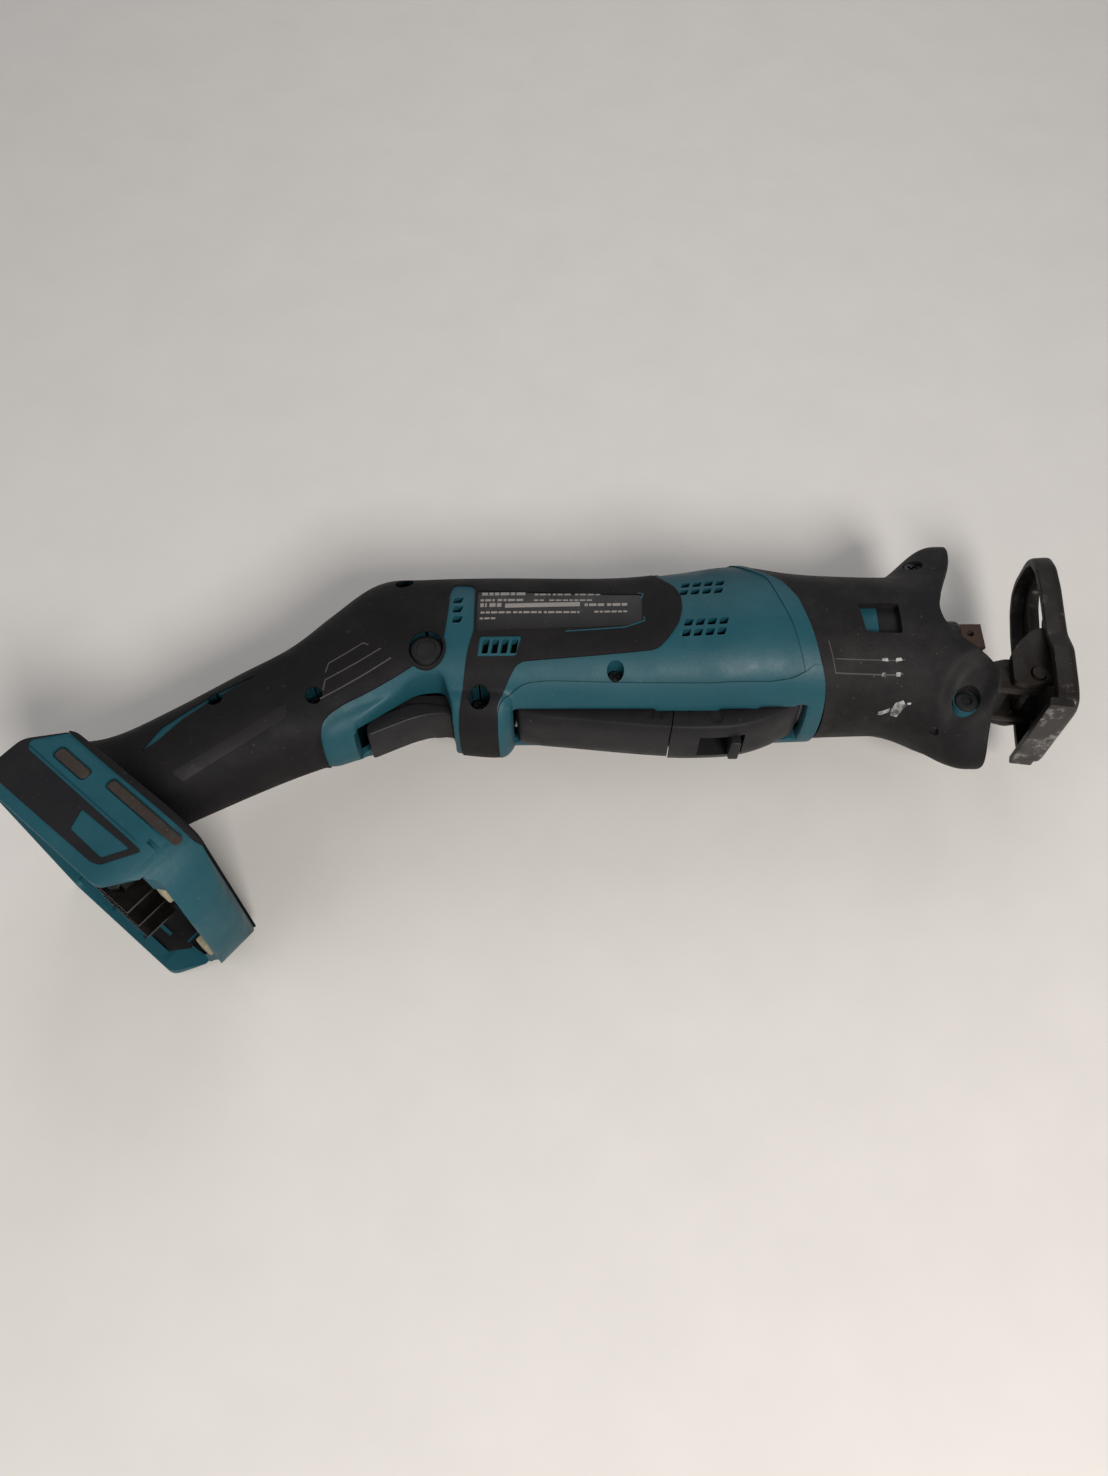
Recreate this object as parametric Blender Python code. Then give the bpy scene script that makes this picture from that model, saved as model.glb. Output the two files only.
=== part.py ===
"""Compact cordless reciprocating saw, without its battery, lying on its left side.

Dimensions are millimetres until `metres` scales them, in a design frame of the tool:
+X towards the blade, +Y towards the back of the tool, +Z towards its right side, with
z = 0 on the joint of the two housing halves.  One empty carries the whole tool to the
frame of the part, where +Z is up and the tool rests on its left side.
"""

import math

import bmesh
import bpy
from mathutils import Matrix, Vector

# ---------------------------------------------------------------- driving dimensions
MM = 0.001
GAP = 0.3                       # running and seating gap between neighbouring pieces
FOOT_HALF = 40.0                # half width of the battery foot, the widest place
TOOL_SHIFT = (-5.03, -3.30)      # moves the middle of the tool's box to x = y = 0

MOTOR_Y = 33.5                  # height of the motor shaft
SLIDER_Y = 40.0                 # height of the reciprocating slider and the blade
CRANK_X = 90.0                  # crank shaft, which runs along Y
CRANK_THROW = 6.5               # half of the 13 mm stroke
PINION_TEETH = 10
CRANK_TEETH = 40
GEAR_PITCH_R = 15.0             # pitch radius of the crank gear's outer end
PINION_PITCH_R = GEAR_PITCH_R * PINION_TEETH / CRANK_TEETH

WALL = 2.6                      # housing wall
SPLIT_GAP = 0.15                # each half stops this far from the joint plane

SHOE_PIVOT = (170.0, 16.0)      # pin that the shoe tilts on
PADDLE_PIVOT = (-6.0, 14.0)     # pin of the long paddle lever
TRIGGER_LEAN = math.radians(30) # the trigger is squeezed square to the grip

FOOT_ANGLE = math.radians(-39.4)
FOOT_S = Vector((math.cos(FOOT_ANGLE), math.sin(FOOT_ANGLE)))    # along the foot, forwards
FOOT_N = Vector((-math.sin(FOOT_ANGLE), math.cos(FOOT_ANGLE)))   # out of its top face

# Sections of grip and barrel: centre x, y, lean of the section, half heights up and
# down, half width.
BODY_SECTIONS = (
    (-150.0, -24.9, 32, 19.0, 20.0, 19.5),
    (-139.0, -18.5, 30, 17.5, 17.5, 17.0),
    (-120.0, -7.5, 30, 18.0, 18.0, 17.0),
    (-100.0, 4.0, 30, 19.5, 19.5, 18.0),
    (-83.0, 13.8, 28, 20.5, 21.5, 19.5),
    (-69.0, 21.0, 22, 26.5, 22.0, 22.0),
    (-56.5, 26.5, 11, 33.0, 23.0, 25.0),
    (-44.0, 30.0, 3, 29.5, 25.5, 27.0),
    (-20.0, 31.0, 0, 28.5, 27.5, 28.0),
    (20.0, 31.0, 0, 28.3, 27.5, 28.3),
    (42.0, 31.5, 0, 30.0, 28.0, 29.5),
    (60.0, 32.0, 0, 32.2, 28.2, 31.0),
    (76.0, 33.0, 0, 31.0, 28.0, 30.6),
    (92.6, 33.8, 0, 29.0, 28.4, 29.5),
)
# Narrow keel under the barrel that carries the trigger and the paddle: centre x, y,
# half heights up and down, half width.
KEEL_SECTIONS = (
    (-86.0, 4.0, 12.0, 10.0, 12.0),
    (-77.0, 3.0, 14.0, 11.5, 14.0),
    (-66.0, 6.0, 16.0, 10.5, 15.0),
    (-48.0, 9.0, 16.0, 9.0, 16.5),
    (-32.0, 9.0, 16.0, 10.8, 17.5),
    (-19.0, 9.0, 16.0, 12.0, 17.5),
    (-15.0, 10.0, 16.0, 9.5, 17.0),
    (-11.0, 12.0, 14.0, 7.8, 16.5),
    (30.0, 13.0, 12.0, 8.8, 17.0),
    (60.0, 13.5, 12.0, 8.6, 17.5),
    (76.0, 15.0, 12.0, 8.2, 17.5),
    (86.0, 17.0, 12.0, 7.0, 17.0),
)
# The battery foot from the side, in (s, n): along the foot and out of its top.
FOOT_SIDE = (
    (-110.0, -138.0), (-110.0, -121.0), (-100.0, -109.5), (-46.0, -108.5),
    (-38.5, -112.0), (-35.0, -118.5), (-36.0, -126.5), (-46.0, -124.5), (-56.0, -138.0),
)
FOOT_UNDERSIDE_N = -138.0
FOOT_CEILING_N = -121.0
FOOT_WALL = 3.4

# The rim of the front guard, from the top horn round the right side to the bottom:
# half width, y, x.
GUARD_RIM = (
    (0.0, 81.5, 146.3), (4.0, 80.6, 146.3), (7.5, 77.8, 146.0), (10.8, 72.6, 145.0),
    (13.4, 66.0, 143.0), (18.0, 54.0, 138.0), (22.8, 44.6, 134.4), (25.2, 36.8, 132.3),
    (27.2, 28.0, 133.6), (29.0, 19.2, 139.5), (29.5, 14.0, 144.5), (27.5, 8.0, 147.0),
    (21.0, 1.5, 145.6), (12.0, -5.0, 145.4), (5.0, -9.6, 145.8), (0.0, -11.0, 146.0),
)
BOOT_CENTRE_Y = 33.5
BOOT_R = 28.4
BOOT_BACK_X = 88.6

# Side view of the shoe plate, front face first.
SHOE_THICK = 5.5
SHOE_FRONT_X = 176.2
SHOE_HALF = 18.5

# ------------------------------------------------------------------------- materials
FINISHES = {
    "teal_plastic": ((0.02, 0.19, 0.24), 0.45, 0.0),
    "black_rubber": ((0.025, 0.024, 0.026), 0.70, 0.0),
    "black_plastic": ((0.03, 0.03, 0.033), 0.42, 0.0),
    "black_steel": ((0.05, 0.045, 0.045), 0.48, 0.8),
    "bare_steel": ((0.50, 0.48, 0.46), 0.35, 1.0),
    "rusty_steel": ((0.27, 0.13, 0.08), 0.70, 0.6),
    "cast_aluminium": ((0.60, 0.60, 0.61), 0.45, 1.0),
    "copper": ((0.72, 0.36, 0.20), 0.35, 1.0),
    "brass": ((0.75, 0.62, 0.30), 0.30, 1.0),
    "beige_rubber": ((0.55, 0.50, 0.36), 0.80, 0.0),
}


def finish(slot):
    """The named material, made on first use."""
    material = bpy.data.materials.get(slot)
    if material is None:
        colour, roughness, metallic = FINISHES[slot]
        material = bpy.data.materials.new(slot)
        material.use_nodes = True
        shader = material.node_tree.nodes["Principled BSDF"]
        shader.inputs["Base Color"].default_value = (*colour, 1.0)
        shader.inputs["Roughness"].default_value = roughness
        shader.inputs["Metallic"].default_value = metallic
    return material


# ---------------------------------------------------------------- building functions
def clear_scene():
    for found in list(bpy.data.objects):
        bpy.data.objects.remove(found)


def make_object(name, bm, slot):
    """A named object in the tool's frame, from a bmesh in design millimetres."""
    bmesh.ops.recalc_face_normals(bm, faces=bm.faces)
    bmesh.ops.transform(bm, matrix=Matrix.Scale(MM, 4), verts=bm.verts)
    mesh = bpy.data.meshes.new(name)
    bm.to_mesh(mesh)
    bm.free()
    mesh.materials.append(finish(slot))
    obj = bpy.data.objects.new(name, mesh)
    bpy.context.scene.collection.objects.link(obj)
    return obj


def skin(name, rings, slot, closed=False):
    """A solid through rings of equal point count, capped at its ends unless closed."""
    bm = bmesh.new()
    rows = [[bm.verts.new(point) for point in ring] for ring in rings]
    count = len(rows[0])
    pairs = list(zip(rows, rows[1:]))
    if closed:
        pairs.append((rows[-1], rows[0]))
    for first, second in pairs:
        for i in range(count):
            j = (i + 1) % count
            bm.faces.new((first[i], first[j], second[j], second[i]))
    if not closed:
        bm.faces.new(rows[0])
        bm.faces.new(reversed(rows[-1]))
    bmesh.ops.remove_doubles(bm, verts=bm.verts, dist=1e-4)
    return make_object(name, bm, slot)


def turned(name, profile, centre, axis, slot, segments=24):
    """A turned piece. profile is (radius, distance along axis) points; centre is its zero."""
    along = Vector(axis).normalized()
    side = along.orthogonal().normalized()
    other = along.cross(side)
    angles = [2 * math.pi * (i + 0.5) / segments for i in range(segments)]
    spokes = [side * math.cos(a) + other * math.sin(a) for a in angles]
    origin = Vector(centre)
    rings = [[origin + along * h + s * r for s in spokes] for r, h in profile]
    on_axis = profile[0][0] == 0 and profile[-1][0] == 0
    if not on_axis:
        return skin(name, rings, slot, closed=True)
    bm = bmesh.new()
    tips = [bm.verts.new(rings[0][0]), bm.verts.new(rings[-1][0])]
    rows = [[bm.verts.new(point) for point in ring] for ring in rings[1:-1]]
    for i in range(segments):
        j = (i + 1) % segments
        bm.faces.new((tips[0], rows[0][j], rows[0][i]))
        bm.faces.new((tips[1], rows[-1][i], rows[-1][j]))
        for first, second in zip(rows, rows[1:]):
            bm.faces.new((first[i], first[j], second[j], second[i]))
    return make_object(name, bm, slot)


def rod(name, radius, start, end, slot, segments=20):
    """A plain round bar from one point to another."""
    length = (Vector(end) - Vector(start)).length
    profile = ((0, 0), (radius, 0), (radius, length), (0, length))
    return turned(name, profile, start, Vector(end) - Vector(start), slot, segments)


def prism(name, outline, low, high, slot, place=None):
    """A flat outline of (x, y) points pulled from z = low to z = high."""
    place = place or (lambda x, y, z: (x, y, z))
    rings = [[place(x, y, z) for x, y in outline] for z in (low, high)]
    return skin(name, rings, slot)


def block(name, low, high, slot):
    outline = ((low[0], low[1]), (high[0], low[1]), (high[0], high[1]), (low[0], high[1]))
    return prism(name, outline, low[2], high[2], slot)


def foot_point(s, n, z):
    """A point of the battery foot in the tool's design frame."""
    flat = FOOT_S * s + FOOT_N * n
    return (flat.x, flat.y, z)


def combine(target, others, operation):
    """Applies one Boolean per other piece, and removes those pieces."""
    for other in others:
        modifier = target.modifiers.new(operation.lower(), "BOOLEAN")
        modifier.operation = operation
        modifier.solver = "EXACT"
        modifier.object = other
    graph = bpy.context.evaluated_depsgraph_get()
    mesh = bpy.data.meshes.new_from_object(target.evaluated_get(graph))
    target.modifiers.clear()
    target.data = mesh
    for other in others:
        bpy.data.objects.remove(other)
    weld(target)
    return target


def weld(obj):
    """Joins the points that the Boolean left in the same place."""
    bm = bmesh.new()
    bm.from_mesh(obj.data)
    bmesh.ops.remove_doubles(bm, verts=bm.verts, dist=2e-7)
    bm.to_mesh(obj.data)
    bm.free()


def cut(target, *cutters):
    return combine(target, cutters, "DIFFERENCE")


def join(target, *others):
    return combine(target, others, "UNION")


def mirrored(source, name):
    """The left-hand twin of a right-hand piece."""
    mesh = source.data.copy()
    mesh.transform(Matrix.Scale(-1, 4, (0, 0, 1)))
    mesh.flip_normals()
    twin = bpy.data.objects.new(name, mesh)
    bpy.context.scene.collection.objects.link(twin)
    return twin


def oval(x, y, lean, up, down, half, inset=0.0, count=28, power=2.3):
    """A ring of the body: a rounded oval square to an axis that leans by `lean` degrees."""
    tilt = math.radians(lean)
    ring = []
    for i in range(count):
        turn = 2 * math.pi * (i + 0.5) / count
        c, s = math.cos(turn), math.sin(turn)
        reach = (abs(c) ** power + abs(s) ** power) ** (-1 / power)
        height = (up if s > 0 else down) - inset
        rise = s * reach * height
        ring.append((x - rise * math.sin(tilt), y + rise * math.cos(tilt),
                     c * reach * (half - inset)))
    return ring


# -------------------------------------------------------------------- housing halves
def body_solid(name, inset):
    """Grip, barrel and keel as one solid, shrunk by `inset` for the hollow inside."""
    trim = 1.2 * inset
    sections = list(BODY_SECTIONS)
    x0, y0, *rest0 = sections[0]
    x1, y1, *rest1 = sections[-1]
    sections[0] = (x0 + (8.0 if inset else 0.0), y0 + (4.6 if inset else 0.0), *rest0)
    sections[-1] = (x1 + (4.0 if inset else 0.0), y1, *rest1)
    barrel = skin(name, [oval(*sec, inset=inset) for sec in sections], "teal_plastic")
    keel = skin(
        name + "_keel",
        [oval(x, y, 0, up, down, half, inset=inset, count=20)
         for x, y, up, down, half in KEEL_SECTIONS],
        "teal_plastic",
    )
    if trim:
        return join(barrel, keel)
    return barrel, keel


def foot_solid(name):
    """The battery foot without its hollow: side outline cut to the rounded plan."""
    foot = prism(name, FOOT_SIDE, -FOOT_HALF, FOOT_HALF, "teal_plastic", foot_point)
    nose = []
    for i in range(13):
        turn = math.pi * (i / 12 - 0.5)
        nose.append((-62 + 27.3 * math.cos(turn) ** 0.8, (FOOT_HALF + 0.4) * math.sin(turn)))
    plan = [(-109.6, FOOT_HALF - 9), (-104.0, FOOT_HALF), (-104.0, FOOT_HALF + 0.4)]
    plan = [(-130.0, -FOOT_HALF - 0.4), *nose, (-130.0, FOOT_HALF + 0.4)]
    rounder = prism(name + "_plan", plan, -150, -100, "teal_plastic",
                    lambda s, w, n: foot_point(s, n, w))
    return combine(foot, [rounder], "INTERSECT")


def foot_hollow(name):
    """Space that the battery slides into, open below and in front."""
    inner = FOOT_HALF - FOOT_WALL
    low = FOOT_UNDERSIDE_N - 5
    plan = ((-106.5, -inner), (-58.0, -inner), (-46.0, -inner + 9), (-42.0, 0.0),
            (-46.0, inner - 9), (-58.0, inner), (-106.5, inner))
    hollow = prism(name, plan, low, FOOT_CEILING_N, "teal_plastic",
                   lambda s, w, n: foot_point(s, n, w))
    mouth = prism(name + "_mouth", ((-60, low), (-10, low), (-10, -127.0), (-60, -127.0)),
                  -inner, inner, "teal_plastic", foot_point)
    return hollow, mouth


def vent_slots(name):
    """Cooling slots of the right half: two groups over the fan, one group at the rear."""
    slots = []
    for base_y in (22.8, 39.8):
        for column in range(4):
            x = 44.0 + 4.6 * column
            outline = ((x, base_y), (x + 3.0, base_y), (x + 4.4, base_y + 5.4),
                       (x + 1.4, base_y + 5.4))
            slots.append(prism(f"{name}_{base_y:.0f}_{column}", outline, 10, 45,
                               "teal_plastic"))
    for row in range(3):
        y = 29.4 + 4.2 * row
        slots.append(block(f"{name}_rear_{row}", (-34.6, y, 10), (-31.0, y + 1.9, 45),
                           "teal_plastic"))
    return slots


# Housing screws: x, y and the depth of the recess floor.
HOUSING_SCREWS = ((-25.0, 5.6, 9.5), (20.5, 12.8, 17.0), (-80.1, 5.7, 12.0),
                  (-52.5, 50.5, 11.0), (-113.5, 5.5, 9.5), (37.0, 57.6, 11.5))
SCREW_HEAD_R = 3.4
RECESS_R = 4.0
BUTTON_AT = (-42.8, 19.9)
TRIGGER_BAY = ((-66.0, -30.0), (-66.0, -2.0), (-62.0, 5.5), (-45.0, 14.0),
               (-38.0, 14.0), (-33.0, 6.0), (-31.0, -30.0))
# Seam between the teal barrel and the black boot, seen from the side.
FRONT_SEAM = ((60.0, 95.0), (60.0, 75.0), (65.0, 60.3), (69.0, 53.0), (78.0, 45.3), (82.6, 37.2),
              (85.6, 27.4), (88.9, 15.4), (91.0, 9.1), (91.8, 4.5), (91.8, -20.0))


def seam_region(name, shift):
    """Everything in front of the seam, moved forwards by `shift`."""
    outline = [(x + shift, y) for x, y in FRONT_SEAM] + [(200.0, -20.0), (200.0, 95.0)]
    return prism(name, outline, -60, 60, "black_rubber")


def barrel_strip(name, x0, x1, y0, y1, outer, inner, slot):
    """A thin curved plate that follows the side of the barrel between two insets."""
    rings = []
    for step in range(5):
        x = x0 + (x1 - x0) * step / 4
        rows = []
        for depth in (outer, inner):
            row = []
            for k in range(6):
                y = y0 + (y1 - y0) * k / 5
                up = 28.4 - depth
                half = 28.15 - depth
                row.append((x, y, half * (1 - abs((y - 31.0) / up) ** 2.3) ** (1 / 2.3)))
            rows.append(row)
        rings.append(rows[0] + rows[1][::-1])
    return skin(name, rings, slot)


def build_housing():
    """Two half shells, with screw bosses on the right half and nut bosses on the left."""
    outer, keel = body_solid("housing_right", 0.0)
    join(outer, keel, foot_solid("foot_outer"))
    inside = body_solid("housing_inside", WALL)
    bay_wall = prism("bay_wall", [(x * 1.0 + (2.2 if x > -45 else -2.2),
                                   y + (2.4 if y > 0 else 1.0))
                                  for x, y in TRIGGER_BAY], -45, 45, "teal_plastic")
    bosses = [rod(f"boss_{i}", RECESS_R + 1.6, (x, y, -1.0), (x, y, 60.0),
                  "teal_plastic", 12)
              for i, (x, y, floor) in enumerate(HOUSING_SCREWS)]
    cut(inside, bay_wall, *bosses)
    hollow, mouth = foot_hollow("foot_hollow")
    bay = prism("trigger_bay", TRIGGER_BAY, -45, 45, "teal_plastic")
    left_side = block("left_side", (-260, -160, -60), (260, 160, SPLIT_GAP), "teal_plastic")
    cut(outer, inside, bay, hollow, mouth, seam_region("boot_side", 0.0), left_side)
    rails = [prism("rail", ((-102, -136.2), (-56, -136.2), (-56, -132.8), (-102, -132.8)),
                   FOOT_HALF - FOOT_WALL - 3.6, FOOT_HALF - 1.0, "teal_plastic",
                   foot_point)]
    join(outer, *rails)
    right = outer
    left = mirrored(right, "housing_left")
    for side, sign in ((right, 1), (left, -1)):
        cutters = [
            block(f"bay_{sign}", (-14.0, -14.0, -11.1), (86.0, 10.0, 11.1), "teal_plastic"),
            block(f"pin_room_{sign}", (-13.6, 5.0, -10.7), (8.0, 13.4, 10.7),
                  "teal_plastic"),
            block(f"way_{sign}", (-67.4, -6.0, -8.6), (-34.0, 18.0, 8.6), "teal_plastic"),
            rod(f"pin_bore_{sign}", 1.9, (*PADDLE_AT, -14.2), (*PADDLE_AT, 14.2),
                "teal_plastic", 12),
            rod(f"button_{sign}", 6.0, (*BUTTON_AT, -45), (*BUTTON_AT, 45),
                "teal_plastic", 20),
            rod(f"motor_seat_{sign}", 18.4, (-24, MOTOR_Y, 0), (56, MOTOR_Y, 0),
                "teal_plastic", 24),
            rod(f"cup_seat_{sign}", 24.9, (57, MOTOR_Y, 0), (95, MOTOR_Y, 0),
                "teal_plastic", 32),
        ]
        for i, (x, y, floor) in enumerate(HOUSING_SCREWS):
            if sign > 0:
                cutters.append(rod(f"recess_{i}", RECESS_R, (x, y, floor), (x, y, 60),
                                   "teal_plastic", 12))
            cutters.append(rod(f"shank_{i}_{sign}", 2.2, (x, y, -floor + 2.0),
                               (x, y, floor + 1), "teal_plastic", 10))
        inner = FOOT_HALF - 1.2
        for s0, s1, n0, n1 in FOOT_PADS:
            cutters.append(prism("pad_seat", ((s0, n0), (s1, n0), (s1, n1), (s0, n1)),
                                 inner * sign, (FOOT_HALF + 5) * sign, "teal_plastic",
                                 foot_point))
        cutters.append(barrel_strip("label_seat", *LABEL_BOX, -0.8, 1.0, "teal_plastic"))
        slots = vent_slots("vent")
        if sign < 0:
            for piece in (*slots, cutters[-1]):
                piece.data.transform(Matrix.Scale(-1, 4, (0, 0, 1)))
                piece.data.flip_normals()
        cut(side, *cutters, *slots)
    return right, left


LABEL_BOX = (-26.0, 29.5, 25.5, 42.5)
FOOT_PADS = ((-99.5, -84.5, -118.6, -114.4), (-78.5, -47.5, -115.6, -111.6))


def build_housing_trim():
    """Blank label plates, rubber pads on the foot and the housing screws."""
    x0, x1, y0, y1 = LABEL_BOX
    plate = barrel_strip("label_right", x0 + GAP, x1 - GAP, y0 + GAP, y1 - GAP, 0.0, 0.6,
                         "black_plastic")
    mirrored(plate, "label_left")
    for i, (s0, s1, n0, n1) in enumerate(FOOT_PADS):
        ends = ((s0 + GAP, n0 + GAP), (s1 - GAP, n0 + GAP), (s1 - GAP, n1 - GAP),
                (s0 + GAP, n1 - GAP))
        pad = prism(f"foot_pad_right_{i + 1}", ends, FOOT_HALF - 0.9, FOOT_HALF - 0.1,
                    "beige_rubber", foot_point)
        mirrored(pad, f"foot_pad_left_{i + 1}")
    for i, (x, y, floor) in enumerate(HOUSING_SCREWS):
        low = -floor + 3.0
        seat = floor + GAP - low
        profile = ((0, 0), (1.8, 0), (1.8, seat), (SCREW_HEAD_R, seat),
                   (SCREW_HEAD_R, seat + 2.0), (2.4, seat + 2.8), (0, seat + 2.8))
        turned(f"housing_screw_{i + 1}", profile, (x, y, low), (0, 0, 1), "bare_steel", 14)


# ------------------------------------------------------------------ front boot, guard
def boot_ring(inset, t):
    """Ring of the boot at t = 0 (end of the tube) to 1 (rim), `inset` inside the skin."""
    full = [(w, y, x) for w, y, x in GUARD_RIM] + [(-w, y, x) for w, y, x in
                                                 reversed(GUARD_RIM[1:-1])]
    ring = []
    for w, y, x in full:
        rise, reach = y - BOOT_CENTRE_Y, w
        span = math.hypot(rise, reach)
        tube = BOOT_R - inset
        rim = span - inset
        flare = 0.35 * t + 0.65 * t ** 2.2
        early = min(1.0, t / 0.87)
        lobe = abs(rise / span) ** 3
        full = early * early * (3 - 2 * early)
        spread = flare + (full - flare) * lobe if span > BOOT_R else t
        radius = tube + (rim - tube) * spread
        ring.append((BOOT_FLARE_X + (x - BOOT_FLARE_X) * t,
                     BOOT_CENTRE_Y + rise / span * radius, reach / span * radius))
    return ring


BOOT_FLARE_X = 113.0
BOOT_WALL = 3.2
SHOE_BUTTON_AT = (137.5, 4.0)
BOOT_SCREW_AT = (131.0, 66.0)


def build_boot():
    """Black elastomer boot: a tube behind, flaring into the guard in front of the hand."""
    def tube_ring(radius, x):
        return [(x, y, w) for (_, y, w) in
                [(0, BOOT_CENTRE_Y + (p[1] - BOOT_CENTRE_Y) * radius / BOOT_R,
                  p[2] * radius / BOOT_R) for p in boot_ring(0.0, 0.0)]]
    steps = (0.25, 0.5, 0.75, 0.92, 1.0)
    outer = [tube_ring(32.0, 59.0), tube_ring(32.0, 68.0), tube_ring(30.2, 80.0),
             tube_ring(29.2, 90.0), tube_ring(BOOT_R, BOOT_FLARE_X)]
    outer += [boot_ring(0.0 if t < 1 else 0.8, t) for t in steps]
    inner_r = BOOT_R - 2.7
    inner = [tube_ring(inner_r, 57.0), tube_ring(inner_r, BOOT_FLARE_X)]
    inner += [boot_ring(BOOT_WALL, t) for t in steps]
    last = [(x + 30.0, y, w) for x, y, w in inner[-1]]
    boot = skin("front_boot", outer, "black_rubber")
    hollow = skin("boot_hollow", inner + [last], "black_rubber")
    rear = seam_region("seam_keep", 0.4)
    cut(boot, hollow)
    combine(boot, [rear], "INTERSECT")
    cutters = [block("boot_window", (106.3, 24.2, 17.3), (116.4, 34.6, 40.0),
                     "black_rubber"),
               rod("button_hole", 4.2, (*SHOE_BUTTON_AT, 2), (*SHOE_BUTTON_AT, 45),
                   "black_rubber", 16)]
    for sign in (1, -1):
        start, end = (*BOOT_SCREW_AT, 3 * sign), (*BOOT_SCREW_AT, 45 * sign)
        cutters.append(rod("screw_hole", 3.5, start, end, "black_rubber", 12))
    cut(boot, *cutters)
    profile = ((0, 0), (1.6, 0), (1.6, 4.0), (3.0, 4.0), (3.0, 6.0), (0, 6.0))
    for i, sign in enumerate((1, -1)):
        turned(f"boot_screw_{i + 1}", profile, (*BOOT_SCREW_AT, 3.5 * sign), (0, 0, sign),
               "black_steel", 12)


# ----------------------------------------------------------------------- gear housing
GEAR_CASE_R = 24.5
GEAR_CASE_WALL = 3.0
GEAR_CASE_BACK = 62.0
GEAR_CASE_FRONT = 112.0
NOSE_R = 12.0
NOSE_FRONT = 133.5
BUSH_R = 8.0
SLIDER_R = 5.0
GUIDE_LOW, GUIDE_HIGH, GUIDE_HALF = 15.0, 19.0, 10.0


def build_gear_case():
    """Aluminium case: cup around the crank, nose around the slider, shoe guide below."""
    inside = GEAR_CASE_R - GEAR_CASE_WALL
    case = rod("gear_case", GEAR_CASE_R, (GEAR_CASE_BACK, MOTOR_Y, 0),
               (GEAR_CASE_FRONT, MOTOR_Y, 0), "cast_aluminium", 32)
    nose = rod("nose", NOSE_R, (GEAR_CASE_FRONT - 2, SLIDER_Y, 0), (NOSE_FRONT, SLIDER_Y, 0),
               "cast_aluminium", 24)
    guide = block("guide", (GEAR_CASE_FRONT - 2, 12.2, -13.5), (136.0, 29.0, 13.5),
                  "cast_aluminium")
    join(case, nose, guide)
    cavity = rod("cavity", inside, (GEAR_CASE_BACK - 2, MOTOR_Y, 0),
                 (GEAR_CASE_FRONT - 4, MOTOR_Y, 0), "cast_aluminium", 27)
    bore = rod("bore", BUSH_R + GAP, (GEAR_CASE_FRONT - 6, SLIDER_Y, 0),
               (NOSE_FRONT + 1, SLIDER_Y, 0), "cast_aluminium", 21)
    slot = block("slot", (GEAR_CASE_FRONT + 0.6, GUIDE_LOW - 0.3, -GUIDE_HALF - 0.3),
                 (138.0, GUIDE_HIGH + 0.3, GUIDE_HALF + 0.3), "cast_aluminium")
    boss = rod("boss", 10.0, (CRANK_X, 8.0, 0), (CRANK_X, 21.5, 0), "cast_aluminium", 24)
    cut(cavity, boss)
    cut(case, cavity, bore, slot)
    seat = rod("seat", BUSH_R + GAP, (CRANK_X, 13.8, 0), (CRANK_X, 23.0, 0),
               "cast_aluminium", 21)
    cut(case, seat)
    ring = ((BUSH_R + GAP, 0.0), (GEAR_CASE_R, 0.0), (GEAR_CASE_R, 4.0),
            (BUSH_R + GAP, 4.0))
    turned("gear_case_cover", ring, (GEAR_CASE_BACK - 4.3, MOTOR_Y, 0), (1, 0, 0),
           "cast_aluminium", 32)
    for name, x0, x1 in (("slider_bush_rear", 108.5, 115.0), ("slider_bush_front", 121, 129)):
        ring = ((SLIDER_R + GAP, 0.0), (BUSH_R, 0.0), (BUSH_R, x1 - x0),
                (SLIDER_R + GAP, x1 - x0))
        turned(name, ring, (x0, SLIDER_Y, 0), (1, 0, 0), "brass", 20)
    seal = ((SLIDER_R + GAP, 0.0), (BUSH_R, 0.0), (BUSH_R, 2.8), (SLIDER_R + GAP, 2.8))
    turned("slider_seal", seal, (129.6, SLIDER_Y, 0), (1, 0, 0), "black_rubber", 20)
    for name, low in (("crank_bearing_lower", 14.1), ("crank_bearing_upper", 18.0)):
        ring = ((4.3, 0.0), (BUSH_R, 0.0), (BUSH_R, 3.4), (4.3, 3.4))
        turned(name, ring, (CRANK_X, low, 0), (0, 1, 0), "bare_steel", 20)


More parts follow.
